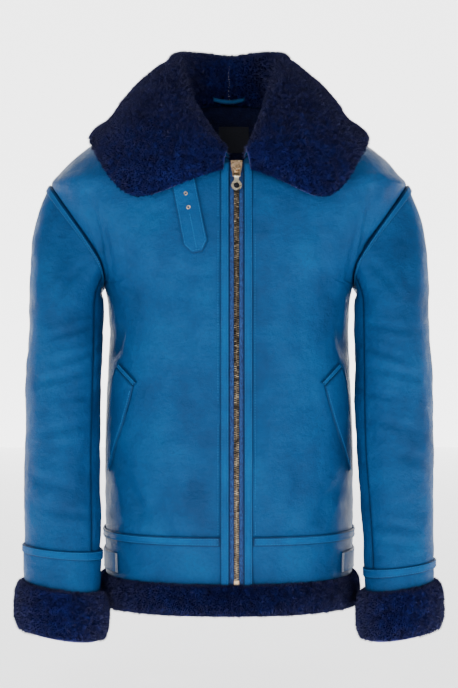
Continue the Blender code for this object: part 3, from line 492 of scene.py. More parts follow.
class Nodes:
    """Builds a material's nodes by short calls."""

    def __init__(self, name):
        self.material = bpy.data.materials.new(name)
        self.material.use_nodes = True
        self.tree = self.material.node_tree
        self.shader = self.tree.nodes["Principled BSDF"]
        self.place = self.node("ShaderNodeTexCoord").outputs["Object"]

    def node(self, kind, **values):
        made = self.tree.nodes.new(kind)
        for key, value in values.items():
            setattr(made, key, value)
        return made

    def link(self, source, target):
        self.tree.links.new(source, target)

    def noise(self, scale, detail=2.0, stretch=None, rough=0.5):
        made = self.node("ShaderNodeTexNoise")
        made.inputs["Scale"].default_value = scale
        made.inputs["Detail"].default_value = detail
        made.inputs["Roughness"].default_value = rough
        self.link(self.stretched(stretch), made.inputs["Vector"])
        return made.outputs["Fac"]

    def cells(self, scale, feature="DISTANCE_TO_EDGE", stretch=None):
        made = self.node("ShaderNodeTexVoronoi", feature=feature)
        made.inputs["Scale"].default_value = scale
        self.link(self.stretched(stretch), made.inputs["Vector"])
        return made.outputs["Distance"]

    def stretched(self, stretch):
        if stretch is None:
            return self.place
        made = self.node("ShaderNodeMapping")
        made.inputs["Scale"].default_value = stretch
        self.link(self.place, made.inputs["Vector"])
        return made.outputs["Vector"]

    def ramp(self, source, *stops):
        made = self.node("ShaderNodeValToRGB")
        ramp = made.color_ramp
        while len(ramp.elements) < len(stops):
            ramp.elements.new(0.5)
        for element, (at, colour) in zip(ramp.elements, stops):
            element.position = at
            element.color = (*colour, 1.0) if len(colour) == 3 else colour
        self.link(source, made.inputs["Fac"])
        return made.outputs["Color"]

    def between(self, source, low, high, out_low, out_high):
        made = self.node("ShaderNodeMapRange")
        for key, value in zip(("From Min", "From Max", "To Min", "To Max"), (low, high, out_low, out_high)):
            made.inputs[key].default_value = value
        self.link(source, made.inputs["Value"])
        return made.outputs["Result"]

    def mix(self, share, a, b, blend="MIX"):
        made = self.node("ShaderNodeMix", data_type="RGBA", blend_type=blend)
        for socket, value in ((made.inputs["Factor"], share), (made.inputs["A"], a), (made.inputs["B"], b)):
            if isinstance(value, tuple):
                socket.default_value = (*value, 1.0)
            elif isinstance(value, float):
                socket.default_value = value
            else:
                self.link(value, socket)
        return made.outputs["Result"]

    def bump(self, height, strength, distance, below=None):
        made = self.node("ShaderNodeBump")
        made.inputs["Strength"].default_value = strength
        made.inputs["Distance"].default_value = distance
        self.link(height, made.inputs["Height"])
        if below is not None:
            self.link(below, made.inputs["Normal"])
        return made.outputs["Normal"]

    def finish(self, colour=None, roughness=None, normal=None, **plain):
        for key, value in (("Base Color", colour), ("Roughness", roughness), ("Normal", normal)):
            if value is None:
                continue
            if isinstance(value, (tuple, float)):
                self.shader.inputs[key].default_value = (*value, 1.0) if isinstance(value, tuple) else value
            else:
                self.link(value, self.shader.inputs[key])
        for key, value in plain.items():
            self.shader.inputs[key.replace("_", " ")].default_value = value
        return self.material


def leather_material(name, dark, base, light):
    n = Nodes(name)
    clouds = n.noise(14.0, 4.0, rough=0.6)
    colour = n.ramp(clouds, (0.3, dark), (0.5, base), (0.72, light))
    fine = n.noise(260.0, 3.0)
    colour = n.mix(n.between(fine, 0.35, 0.7, 0.0, 0.35), colour, dark)
    # Painted shade: the leather is darkened towards a near black blue close to each piece's edge, along the
    # seams.
    seam = n.node("ShaderNodeAttribute", attribute_name="seam").outputs["Fac"]
    colour = n.mix(n.between(seam, 0.0, 1.0, 0.0, 0.75), colour, (0.0, 0.008, 0.035))
    grain = n.cells(620.0)
    wrinkle = n.noise(70.0, 5.0, stretch=(1.0, 1.0, 1.2), rough=0.62)
    creased = n.bump(wrinkle, 0.48, 0.005)
    normal = n.bump(n.between(grain, 0.0, 0.2, 0.0, 1.0), 0.45, 0.0008, creased)
    rough = n.between(n.noise(45.0, 3.0), 0.3, 0.7, 0.4, 0.55)
    return n.finish(colour, rough, normal, Specular_IOR_Level=0.17)


def wool_material(name, dark, base, light):
    n = Nodes(name)
    tufts = n.noise(95.0, 4.0, rough=0.65)
    wide = n.noise(22.0, 3.0)
    colour = n.ramp(tufts, (0.22, dark), (0.5, base), (0.82, light))
    colour = n.mix(n.between(wide, 0.3, 0.7, 0.0, 0.45), colour, dark)
    normal = n.bump(n.noise(330.0, 4.0, rough=0.7), 0.7, 0.003, n.bump(tufts, 0.6, 0.006))
    return n.finish(colour, 0.92, normal, Sheen_Weight=0.4, Sheen_Tint=(0.55, 0.55, 1.0, 1.0),
                    Sheen_Roughness=0.4, Specular_IOR_Level=0.15)


def metal_material(name, dark, base, light, rough):
    n = Nodes(name)
    # Partly painted highlights: the noise lifts random patches to the light colour as glints on the metal; it
    # also gives wear and uneven tone.
    wear_and_glints = n.noise(240.0, 4.0, rough=0.6)
    colour = n.ramp(wear_and_glints, (0.3, dark), (0.5, base), (0.7, light))
    normal = n.bump(n.noise(900.0, 2.0), 0.12, 0.0004)
    return n.finish(colour, n.between(wear_and_glints, 0.3, 0.7, rough - 0.08, rough + 0.12), normal, Metallic=1.0)


def cloth_material(name, dark, base, scale=900.0):
    n = Nodes(name)
    weave = n.noise(scale, 1.0, stretch=(1.0, 1.0, 0.35))
    colour = n.ramp(weave, (0.35, dark), (0.65, base))
    normal = n.bump(weave, 0.5, 0.0008)
    return n.finish(colour, 0.8, normal)


LEATHER = leather_material("blue_leather_face", (0.0005, 0.046, 0.155), (0.001, 0.070, 0.225),
                           (0.002, 0.096, 0.285))
TRIM = leather_material("blue_leather_trim", (0.0005, 0.060, 0.20), (0.001, 0.090, 0.285),
                        (0.003, 0.12, 0.35))
WOOL = wool_material("navy_wool_pile", (0.003, 0.0042, 0.047), (0.0075, 0.0125, 0.14), (0.016, 0.038, 0.29))
# Painted shade: the wool inside the hollow jacket is the outer wool made darker, for the shade that falls
# inside it.
SHADED_LINING = wool_material("navy_wool_inside_shaded", (0.002, 0.003, 0.02), (0.004, 0.007, 0.04), (0.007, 0.014, 0.07))
# The brass's lightest colour is a painted glint on the zip teeth.
BRASS = metal_material("antique_brass", (0.03, 0.024, 0.018), (0.20, 0.155, 0.105), (0.66, 0.56, 0.42), 0.32)
GOLD = metal_material("gold_brass", (0.34, 0.21, 0.11), (0.66, 0.45, 0.27), (0.88, 0.70, 0.48), 0.3)
PALE_BRASS = metal_material("pale_brass", (0.42, 0.33, 0.21), (0.72, 0.62, 0.45), (0.9, 0.83, 0.68), 0.28)
TAPE = cloth_material("woven_tape", (0.003, 0.02, 0.10), (0.012, 0.075, 0.27))
LABEL = cloth_material("woven_label", (0.004, 0.005, 0.012), (0.014, 0.016, 0.03), 1400.0)
THREAD = cloth_material("blue_thread", (0.006, 0.12, 0.34), (0.02, 0.24, 0.60), 2500.0)
WHITE_THREAD = cloth_material("white_thread", (0.35, 0.38, 0.45), (0.75, 0.78, 0.85), 2500.0)
DISC = metal_material("dark_enamel", (0.01, 0.01, 0.014), (0.02, 0.02, 0.026), (0.05, 0.05, 0.06), 0.4)


def build(name, points, faces, looks, chosen=None, smooth=True):
    """An object from points in millimetres and faces; chosen gives each face's material."""
    mesh = bpy.data.meshes.new(name)
    mesh.from_pydata([tuple(p) for p in np.asarray(points, dtype=float) * MM], [], faces)
    for look in looks:
        mesh.materials.append(look)
    if chosen is not None:
        mesh.polygons.foreach_set("material_index", chosen)
    mesh.polygons.foreach_set("use_smooth", [smooth] * len(mesh.polygons))
    mesh.update()
    made = bpy.data.objects.new(name, mesh)
    bpy.context.scene.collection.objects.link(made)
    return made


def wall(name, outer, inner, looks, nodes, round_columns=False, sharp=60):
    """A closed wall between two grids. The outer side and rim take the first look and the inner side the
    last."""
    count, width = len(outer), len(outer[0])
    points = [tuple(p) for grid in (outer, inner) for row in grid for p in row]
    far = count * width
    columns = [(k, (k + 1) % width) for k in range(width if round_columns else width - 1)]
    faces, chosen = [], []
    for r in range(count - 1):
        for k, m in columns:
            a, b, c, d = r * width + k, r * width + m, (r + 1) * width + m, (r + 1) * width + k
            faces.append((a, b, c, d))
            faces.append((far + d, far + c, far + b, far + a))
            chosen += [0, len(looks) - 1]
    if not round_columns:
        for k in (0, width - 1):
            for r in range(count - 1):
                a, b = r * width + k, (r + 1) * width + k
                faces.append((a, b, far + b, far + a))
                chosen.append(0)
    for r in (0, count - 1):
        for k, m in columns:
            a, b = r * width + k, r * width + m
            faces.append((a, b, far + b, far + a))
            chosen.append(0)
    made = build(name, points, faces, looks, chosen)
    bm = bmesh.new()
    bm.from_mesh(made.data)
    bmesh.ops.recalc_face_normals(bm, faces=bm.faces)
    bm.to_mesh(made.data)
    bm.free()
    made.data.set_sharp_from_angle(angle=math.radians(sharp))
    mark_seam_shade(made, outer, round_columns)
    return stand_for(made, nodes)


def from_ends(places, axis):
    """Each point's distance from the nearer end of its row (axis 1) or column (axis 0)."""
    steps = np.linalg.norm(np.diff(places, axis=axis), axis=2)
    travel = np.concatenate([np.zeros_like(np.take(steps, [0], axis)), np.cumsum(steps, axis=axis)],
                            axis=axis)
    return np.minimum(travel, np.take(travel, [-1], axis) - travel)


def mark_seam_shade(made, outer, round_columns):
    """Stores how close each point of the outer side is to the piece's edge, for the painted shade that
    darkens the leather along seams."""
    places = np.array([[tuple(p) for p in row] for row in outer])
    near = from_ends(places, 0)
    if not round_columns:
        near = np.minimum(near, from_ends(places, 1))
    marks = np.zeros(len(made.data.vertices), dtype=np.float32)
    marks[: near.size] = np.exp(-((near / 2.2) ** 2)).ravel()
    made.data.attributes.new("seam", "FLOAT", "POINT").data.foreach_set("value", marks)


def stand_for(made, nodes, body="jacket"):
    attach(made, body)
    if nodes:
        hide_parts(*nodes)
    return made


def cloth(made):
    """Hands back a leather or wool piece as it is."""
    return made


def wave(p, scale, shift=0.0):
    return noise.noise(Vector((p.x * scale + shift, p.y * scale + shift * 0.7, p.z * scale - shift)))


def lie(p, shift=0.0):
    """How far the leather lies off its plain form: broad soft hollows and shallow wrinkles."""
    broad = wave(p, 0.014, shift) * 2.4
    middle = noise.noise(Vector((p.x * 0.035, p.y * 0.035, p.z * 0.05 + shift))) * 1.0
    small = noise.noise(Vector((p.x * 0.09 + 5, p.y * 0.09, p.z * 0.14 + shift))) * 0.35
    return broad + middle + small - 0.6


def seam_dip(distance, depth=1.9, reach=4.0):
    """The leather rolls in towards a seam."""
    return depth * math.exp(-((distance / reach) ** 2))


def fine_heights(low, high, step):
    count = max(2, round((high - low) / step))
    return [low + (high - low) * k / count for k in range(count + 1)]


def edge_distances(points):
    """For each point of a row, how far it is along the row from the nearer end."""
    travelled = [0.0]
    for a, b in zip(points, points[1:]):
        travelled.append(travelled[-1] + (b - a).length)
    return [min(t, travelled[-1] - t) for t in travelled]


# Creases of the body: face (-1 front, 1 back), start and end (distance across, height), half width, depth
CREASES = (
    (-1, -186, -150, -168, -235, 4, 2.2),
    (-1, -172, -160, -160, -225, 5, 1.4),
    (-1, 190, -150, 172, -238, 4, 2.0),
    (-1, 176, -165, 160, -250, 5, 1.4),
    (-1, -150, -240, -120, -262, 6, 1.2),
    (-1, 150, -244, 118, -270, 6, 1.2),
    (-1, -148, -300, -158, -352, 6, 1.5),
    (-1, 150, -300, 160, -345, 6, 1.5),
    (-1, -60, -210, -52, -330, 10, 1.1),
    (-1, 60, -220, 66, -360, 10, 1.0),
    (-1, -40, -400, -44, -520, 11, 1.2),
    (-1, 36, -330, 40, -540, 9, 1.4),
    (-1, -150, -500, -110, -560, 8, 1.6),
    (-1, -100, -540, -70, -580, 8, 1.2),
    (-1, 150, -520, 108, -575, 8, 1.6),
    (-1, 100, -470, 84, -572, 9, 1.2),
    (-1, -118, -150, -126, -210, 9, 1.0),
    (-1, 118, -170, 130, -230, 9, 1.0),
    (1, -196, -130, -165, -220, 6, 2.0),
    (1, 196, -130, 165, -220, 6, 2.0),
    (1, -150, -230, -90, -290, 9, 1.5),
    (1, 150, -230, 90, -290, 9, 1.5),
    (1, -130, -480, -60, -560, 10, 1.5),
    (1, 130, -490, 66, -566, 10, 1.5),
    (1, -20, -150, -24, -420, 12, 1.0),
    (1, 80, -330, 60, -480, 12, 1.1),
)


def crease_depth(face, x, z):
    total = 0.0
    for crease_face, x0, z0, x1, z1, width, depth in CREASES:
        if crease_face != face:
            continue
        run_x, run_z = x1 - x0, z1 - z0
        t = ((x - x0) * run_x + (z - z0) * run_z) / (run_x * run_x + run_z * run_z)
        if not -0.2 < t < 1.2:
            continue
        held = min(1.0, max(0.0, t))
        away = math.hypot(x - x0 - run_x * held, z - z0 - run_z * held)
        if away > 3 * width:
            continue
        taper = math.sin(math.pi * min(1.0, max(0.0, (t + 0.2) / 1.4))) ** 0.8
        share = away / width
        total += 1.5 * depth * taper * (math.exp(-share * share) - 0.45 * math.exp(-((share - 1.6) ** 2)))
    return total


# Middle line of what is sewn on the fronts: places under it stay flat
STRAP_LINE = ((-64.0, -118.0), (-44.0, -206.0))


def uncovered(x, z):
    """1 where the leather is free to crease, down to 0 under the strap and the pocket pieces."""
    (x0, z0), (x1, z1) = STRAP_LINE
    t = min(1.0, max(0.0, ((x - x0) * (x1 - x0) + (z - z0) * (z1 - z0)) / math.dist(*STRAP_LINE) ** 2))
    strap_gap = math.hypot(x - x0 - (x1 - x0) * t, z - z0 - (z1 - z0) * t) - 19.0
    spots = [(a, b) for a, b in ((along(POCKET_INNER, k / 12), along(POCKET_OUTER, k / 12))
                                 for k in range(13))]
    pocket_gap = min(math.hypot(abs(x) - (a[0] + b[0]) / 2, z - (a[1] + b[1]) / 2) - math.dist(a, b) / 2
                     for a, b in spots) - 3.0
    return min(1.0, max(0.0, min(strap_gap, pocket_gap) / 12.0))


def panel_row(x_from, x_to, z, face, count, top_distance, wall_depth, shift=0.0):
    """One row of a body panel with its creases, as outer and inner points."""
    start, end = angle_at(x_from, z), angle_at(x_to, z)
    bases, normals = [], []
    for k in range(count + 1):
        angle = start + (end - start) * k / count
        base = section_point(angle, z, face)
        normal = body_normal(angle, z, face)
        if ARMPIT_Z <= z <= ARMHOLE[0][0] and abs(abs(base.x) - armhole_x(z)) < 0.01:
            normal = seam_normal(z, face)
            normal.x *= math.copysign(1.0, base.x)
        bases.append(base)
        normals.append(normal)
    outer, inner = [], []
    for base, normal, side in zip(bases, normals, edge_distances(bases)):
        sink = fold_depth(base.x, z) if face < 0 else 0.0
        near = min(side, top_distance)
        calm = min(1.0, near / 12.0) * (uncovered(base.x, z) if face < 0 else 1.0)
        rise = (lie(base, shift) - crease_depth(face, base.x, z)) * calm - seam_dip(near)
        moved = base + Vector((0, face * SEAM_GAP / 2, 0))
        outer.append(moved + normal * (rise - sink))
        inner.append(moved + normal * (-wall_depth - sink))
    return outer, inner


# Lower edge of the front and back panels, just above the waist seam
PANEL_FOOT = -588.7


def body_panels():
    low = PANEL_FOOT
    for side in ("right", "left"):
        outer, inner = [], []
        rows = fine_heights(low, ARMPIT_Z, 5.0)[:-1] + fine_heights(ARMPIT_Z, ARMHOLE[0][0], 3.5)[:-1]
        rows += fine_heights(ARMHOLE[0][0], -3.0, 4.5)
        for z in rows:
            end = side_sign(side) * side_limit(z)
            row = panel_row(neck_start(side, z), end, z, -1, 52, min(z - low, -3.0 - z + 6.0), BODY_WALL)
            outer.append(row[0])
            inner.append(row[1])
        panel = wall(f"leather_front_{side}", outer, inner, (LEATHER, SHADED_LINING), [f"front_{side}"])
        cloth(panel)
    outer, inner = [], []
    rows = fine_heights(low, ARMPIT_Z, 6.0)[:-1] + fine_heights(ARMPIT_Z, ARMHOLE[0][0], 4.0)[:-1]
    for z in rows + fine_heights(ARMHOLE[0][0], -4.0, 6.0)[:-1]:
        row = panel_row(-side_limit(z), side_limit(z), z, 1, 84, z - low, BODY_WALL, 9.0)
        outer.append(row[0])
        inner.append(row[1])
    for z in (-4.0, 0.0, 2.5, 5.0, 8.0, 11.0, 13.0, 14.5, 15.6):
        x = smooth_table(BODY, z, 1) if z < 0 else neck_back_x(z)
        row = panel_row(-x, x, z, 1, 84, max(0.5, 16.0 - z), BODY_WALL, 9.0)
        outer.append(row[0])
        inner.append(row[1])
    cloth(wall("leather_back", outer, inner, (LEATHER, SHADED_LINING), ["back"]))


def band(name, heights, face, x_from, x_to, count, out_from, out_to, looks, nodes,
         puff=0.35, relief=0.5):
    """A horizontal band on the body section, a little rounded over its width, following the big folds below
    it."""
    outer, inner = [], []
    low, high = min(heights), max(heights)
    for z in heights:
        start, end = angle_at(x_from(z), z), angle_at(x_to(z), z)
        near = min(z - low, high - z)
        row_out, row_in = [], []
        for k in range(count + 1):
            angle = start + (end - start) * k / count
            base, normal = section_point(angle, z, face), body_normal(angle, z, face)
            sink = fold_depth(base.x, z) if face < 0 else 0.0
            rise = lie(base, 3.0) * relief * min(1.0, near / 3.0) - puff * math.exp(-((near / 1.6) ** 2))
            moved = base + Vector((0, face * SEAM_GAP / 2, 0))
            row_out.append(moved + normal * (out_to + rise - sink))
            row_in.append(moved + normal * (out_from - sink))
        outer.append(row_out)
        inner.append(row_in)
    return wall(name, outer, inner, looks, nodes)


def waist():
    heights = fine_heights(FUR_TOP_Z + SEAM_GAP, WAIST_SEAM_Z - SEAM_GAP, 3.5)
    strip = fine_heights(-595.0, -583.0, 1.2)
    half = lambda z: smooth_table(BODY, z, 1)
    for side in ("right", "left"):
        sign = side_sign(side)
        inner_edge = front_edge(side)
        strip_start = inner_edge + sign * (STRIP_WIDTH + SEAM_GAP)
        made = band(f"leather_waistband_{side}", heights, -1, lambda z: inner_edge, lambda z: sign * half(z),
                    60,
                    -BODY_WALL, 0.0, (LEATHER, SHADED_LINING), [f"waistband_{side}"], relief=0.9, puff=1.2)
        cloth(made)
        made = band(f"leather_waist_strip_{side}", strip, -1, lambda z: strip_start,
                    lambda z: sign * half(z), 60,
                    LIFT, LIFT + STRIP_WALL, (TRIM,), [f"waist_strip_{side}"], relief=0.3)
        cloth(made)
    made = band("leather_waistband_back", heights, 1, lambda z: -half(z), lambda z: half(z), 110, -BODY_WALL,
                0.0, (LEATHER, SHADED_LINING), ["waistband_back"], relief=0.9, puff=1.2)
    cloth(made)
    made = band("leather_waist_strip_back", strip, 1, lambda z: -half(z), lambda z: half(z), 110, PATCH_LIFT,
                PATCH_LIFT + STRIP_WALL, (TRIM,), ["waist_strip_back"], relief=0.3)
    cloth(made)


def front_strips():
    heights = fine_heights(FUR_TOP_Z + 0.6, NECK_FRONT_Z - 6.0, 4.0)
    for side in ("right", "left"):
        start = front_edge(side)
        outer, inner = [], []
        for z in heights:
            row_out, row_in = [], []
            for k in range(13):
                share = k / 12
                x = start + side_sign(side) * STRIP_WIDTH * share
                near = min(share, 1 - share) * STRIP_WIDTH
                groove = 0.5 * math.exp(-(((near - 2.2) / 0.7) ** 2))
                edge_drop = 0.7 * math.exp(-((near / 0.8) ** 2))
                out = PATCH_LIFT + STRIP_WALL + 0.5 * math.sin(math.pi * share) - edge_drop
                p = body_point(x, z, -1)
                out += lie(p, 6.0) * 0.35 - groove
                row_out.append(body_point(x, z, -1, out) - Vector((0, SEAM_GAP / 2, 0)))
                row_in.append(body_point(x, z, -1, PATCH_LIFT) - Vector((0, SEAM_GAP / 2, 0)))
            outer.append(row_out)
            inner.append(row_in)
        made = wall(f"leather_front_strip_{side}", outer, inner, (TRIM,), [f"front_strip_{side}"])
        cloth(made)


CAP_END_Z = -275.0
CAP_COUNT = 26
SLEEVE_COLUMNS = 96

# Sleeve creases: wearer's side, angle round the sleeve at start and end, height at start and end, half
# width, depth
SLEEVE_CREASES = (
    ("right", 150, -300, 70, -318, 5, 1.6),
    ("right", 170, -330, 80, -352, 5, 1.8),
    ("right", 150, -360, 60, -378, 6, 1.5),
    ("right", 175, -392, 95, -402, 5, 1.6),
    ("right", 150, -430, 60, -447, 7, 1.3),
    ("right", 120, -520, 40, -505, 8, 1.2),
    ("right", 160, -560, 70, -548, 6, 1.3),
    ("right", 110, -215, 85, -262, 8, 2.2),
    ("right", 60, -180, 70, -300, 12, 1.4),
    ("left", 150, -296, 70, -310, 5, 1.6),
    ("left", 172, -322, 85, -345, 5, 1.9),
    ("left", 150, -356, 55, -372, 6, 1.5),
    ("left", 175, -388, 90, -400, 5, 1.7),
    ("left", 150, -424, 60, -442, 7, 1.3),
    ("left", 100, -470, 30, -490, 9, 1.1),
    ("left", 165, -560, 60, -575, 6, 1.4),
    ("left", 150, -590, 70, -596, 5, 1.2),
    ("left", 110, -215, 85, -262, 8, 2.2),
    ("left", 60, -180, 72, -300, 12, 1.4),
    ("right", 250, -330, 200, -350, 6, 1.5),
    ("right", 280, -380, 210, -396, 6, 1.5),
    ("left", 250, -330, 200, -350, 6, 1.5),
    ("left", 280, -384, 210, -400, 6, 1.5),
    ("right", 300, -480, 230, -500, 8, 1.2),
    ("left", 300, -480, 230, -500, 8, 1.2),
)


def sleeve_crease(side, degrees, z):
    total = 0.0
    for crease_side, a0, z0, a1, z1, width, depth in SLEEVE_CREASES:
        if crease_side != side:
            continue
        run_x, run_z = (a1 - a0) * 1.05, z1 - z0
        dx, dz = (degrees - a0) * 1.05, z - z0
        t = (dx * run_x + dz * run_z) / (run_x * run_x + run_z * run_z)
        if not -0.15 < t < 1.15:
            continue
        held = min(1.0, max(0.0, t))
        share = math.hypot(dx - run_x * held, dz - run_z * held) / width
        if share > 3:
            continue
        taper = math.sin(math.pi * min(1.0, max(0.0, (t + 0.15) / 1.3)))
        total += 1.5 * depth * taper * (math.exp(-share * share) - 0.4 * math.exp(-((share - 1.6) ** 2)))
    return total


def armhole_at(share, depth):
    """A point of the wearer's left armhole seam at a share of the way round, from the tip down the front."""
    share %= 1.0
    face = -1 if share <= 0.5 else 1
    turn = 2 * math.pi * (share if share <= 0.5 else 1 - share)
    z = ARMHOLE[0][0] + (ARMPIT_Z - ARMHOLE[0][0]) * (1 - math.cos(turn)) / 2
    return section_point(angle_at(armhole_x(z), z), z, face) - seam_normal(z, face) * depth


def cap_point(side, share, down, depth, gap=SEAM_GAP):
    """A point of the sleeve between the armhole and where its sections are level."""
    sign = side_sign(side)
    a = armhole_at(share, depth)
    start = Vector((sign * SLEEVE_START.x, SLEEVE_START.y, SLEEVE_START.z)).normalized()
    a = Vector((sign * a.x, a.y, a.z)) + start * gap
    b = offset_sleeve(side, CAP_END_Z, 2 * math.pi * share, depth)
    reach = (b - a).length
    h00, h10 = 2 * down**3 - 3 * down**2 + 1, down**3 - 2 * down**2 + down
    h01, h11 = 3 * down**2 - 2 * down**3, down**3 - down**2
    level = Vector((0, -0.15, -1)).normalized()
    return a * h00 + start * (h10 * reach) + b * h01 + level * (h11 * reach)


def sleeve_panel_rows(side, shares, depth, heights):
    rows = [[cap_point(side, s, k / CAP_COUNT, depth) for s in shares] for k in range(CAP_COUNT + 1)]
    rows += [[offset_sleeve(side, z, 2 * math.pi * s, depth) for s in shares] for z in heights]
    return rows


# Where the sleeve's two seams run, as shares of the way round from the outside by the front
FRONT_SEAM = 9.6 / 24
BACK_SEAM = 20 / 24


def sleeves():
    for side in ("right", "left"):
        heights = [-z for z in fine_heights(279.0, -CUFF_SEAM_Z[side], 4.0)]
        for name, first, last, count in (("top", BACK_SEAM - 1, FRONT_SEAM, 62),
                                         ("under", FRONT_SEAM, BACK_SEAM, 52)):
            shares = [first + (last - first) * k / count for k in range(count + 1)]
            outer = sleeve_panel_rows(side, shares, 0.0, heights)
            inner = sleeve_panel_rows(side, shares, SLEEVE_WALL, heights)
            total = len(outer)
            travel = 0.0
            for r in range(total):
                distances = edge_distances(outer[r])
                if r:
                    travel += (outer[r][count // 2] - before).length
                before = outer[r][count // 2].copy()
                for k, s in enumerate(shares):
                    p, q = outer[r][k], inner[r][k]
                    near = min(distances[k], travel)
                    away = (p - q).normalized()
                    calm = min(1.0, near / 10.0)
                    rise = lie(p, 12.0) * calm - seam_dip(near, 1.3, 3.5)
                    rise -= sleeve_crease(side, (s * 360) % 360, p.z) * calm
                    outer[r][k] = p + away * rise
            for grid in (outer, inner):
                for row in grid:
                    row[0] = row[0] + (row[1] - row[0]).normalized() * (SEAM_GAP / 2)
                    row[-1] = row[-1] + (row[-2] - row[-1]).normalized() * (SEAM_GAP / 2)
            made = wall(f"leather_sleeve_{name}_{side}", outer, inner, (LEATHER, SHADED_LINING),
                        [f"sleeve_{name}_{side}"])
            cloth(made)
        armhole_strip(side)


def armhole_strip(side):
    count, across = 150, 8
    outer, inner = [], []
    for r in range(across + 1):
        share = r / across
        near = min(share, 1 - share) * 8.5
        round_off = 0.7 * math.exp(-((near / 0.8) ** 2)) - 0.4 * math.sin(math.pi * share)
        depth = LIFT + STRIP_WALL - round_off
        outer.append([cap_point(side, k / count, 0.062 * share, -depth) for k in range(count)])
        inner.append([cap_point(side, k / count, 0.062 * share, -LIFT) for k in range(count)])
    made = wall(f"leather_armhole_strip_{side}", outer, inner, (TRIM,), [f"armhole_strip_{side}"],
                round_columns=True)
    cloth(made)


def cuffs():
    count = SLEEVE_COLUMNS
    for side in ("right", "left"):
        seam = CUFF_SEAM_Z[side]
        heights = fine_heights(FUR_CUFF_TOP_Z + SEAM_GAP, seam - SEAM_GAP, 3.0)
        outer, inner = [], []
        for z in heights:
            near = min(z - heights[0], heights[-1] - z)
            row = []
            for k in range(count):
                p = offset_sleeve(side, z, 2 * math.pi * k / count, 0.0)
                rise = lie(p, 15.0) * min(1.0, near / 8.0) - seam_dip(near, 1.2, 3.0)
                row.append(offset_sleeve(side, z, 2 * math.pi * k / count, -rise))
            outer.append(row)
            inner.append([offset_sleeve(side, z, 2 * math.pi * k / count, SLEEVE_WALL)
                          for k in range(count)])
        made = wall(f"leather_cuff_band_{side}", outer, inner, (LEATHER, SHADED_LINING), [f"cuff_band_{side}"],
                    round_columns=True)
        cloth(made)
        outer, inner = [], []
        for r in range(11):
            z = seam - 6.0 + 12.0 * r / 10
            near = min(r, 10 - r) * 1.2
            out = LIFT + STRIP_WALL - 0.6 * math.exp(-((near / 0.8) ** 2)) + 0.35 * math.sin(math.pi * r / 10)
            outer.append([offset_sleeve(side, z, 2 * math.pi * k / count, -out) for k in range(count)])
            inner.append([offset_sleeve(side, z, 2 * math.pi * k / count, -LIFT) for k in range(count)])
        made = wall(f"leather_cuff_strip_{side}", outer, inner, (TRIM,), [f"cuff_strip_{side}"],
                    round_columns=True)
        cloth(made)


def tuft(p, amount=1.0):
    """How uneven the clipped wool's surface is."""
    return (wave(p, 0.03, 2.0) * 1.6 + wave(p, 0.09, 4.0) * 1.1 + wave(p, 0.22, 8.0) * 0.6) * amount


def profile_points(profile, count):
    """A profile of (down, out) pairs on a smooth curve with more points."""
    as_vectors = [[Vector((down, out, 0.0))] for down, out in profile]
    return [(rib[0].x, rib[0].y) for rib in resample(as_vectors, count)]


def fur_rings(side, profile, count, fullness):
    height = FUR_CUFF_TOP_Z - FUR_CUFF_END_Z
    rows = []
    for down, out in profile_points(profile, count):
        z = FUR_CUFF_TOP_Z - height * down
        row = []
        for k in range(SLEEVE_COLUMNS):
            angle = 2 * math.pi * k / SLEEVE_COLUMNS
            p = offset_sleeve(side, z, angle, -out * fullness)
            outward = (p - offset_sleeve(side, z, angle, 20.0)).normalized()
            row.append(p + outward * tuft(p, math.copysign(0.9, fullness) if out > 0 else 0.3))
        rows.append(row)
    return rows


def fur_hem_rows(name, face, side, profile, count, columns):
    rows = []
    for down, out in profile_points(profile, count):
        z = FUR_TOP_Z - (FUR_TOP_Z - HEM_Z) * down
        half = smooth_table(BODY, z, 1)
        start = -half if side == 0 else front_edge(name) - side * (ZIP_GAP - 0.02)
        end = half if side == 0 else side * half
        a, b = angle_at(start, z), angle_at(end, z)
        row = []
        for k in range(columns + 1):
            angle = a + (b - a) * k / columns
            p, normal = section_point(angle, z, face), body_normal(angle, z, face)
            sink = fold_depth(p.x, z) if face < 0 else 0.0
            calm = min(1.0, k / 4) if side else 1.0
            bumpy = tuft(p, 0.8) * calm if out > 0 else 0.0
            row.append(p + Vector((0, face * SEAM_GAP / 2, 0)) + normal * (out - sink + bumpy))
        rows.append(row)
    return rows


def fine_collar(side):
    ribs = [collar_rib(row, side) for row in COLLAR]
    wool = resample([r[0] for r in ribs], COLLAR_STATIONS)
    skin = resample([r[1] for r in ribs], COLLAR_STATIONS)
    for _ in range(2):
        even_out(skin)
        even_out(wool)
    for _ in range(3):
        settle_fall(skin, wool)
    for grid in (wool, skin):
        for p in grid[-1]:
            p.x = side_sign(side) * 0.02
    made = []
    for grid in (wool, skin):
        along_collar = resample(grid, 110)
        across = [resample([[p] for p in rib], 52) for rib in along_collar]
        made.append([[cell[0] for cell in rib] for rib in across])
    return made


def surface_normals(grid, round_columns=False):
    count, width = len(grid), len(grid[0])
    pts = np.array([[tuple(p) for p in row] for row in grid])
    up = np.gradient(pts, axis=0)
    if round_columns:
        across = (np.roll(pts, -1, axis=1) - np.roll(pts, 1, axis=1)) / 2
    else:
        across = np.gradient(pts, axis=1)
    normals = np.cross(across, up)
    return pts, normals / np.maximum(np.linalg.norm(normals, axis=2, keepdims=True), 1e-9)


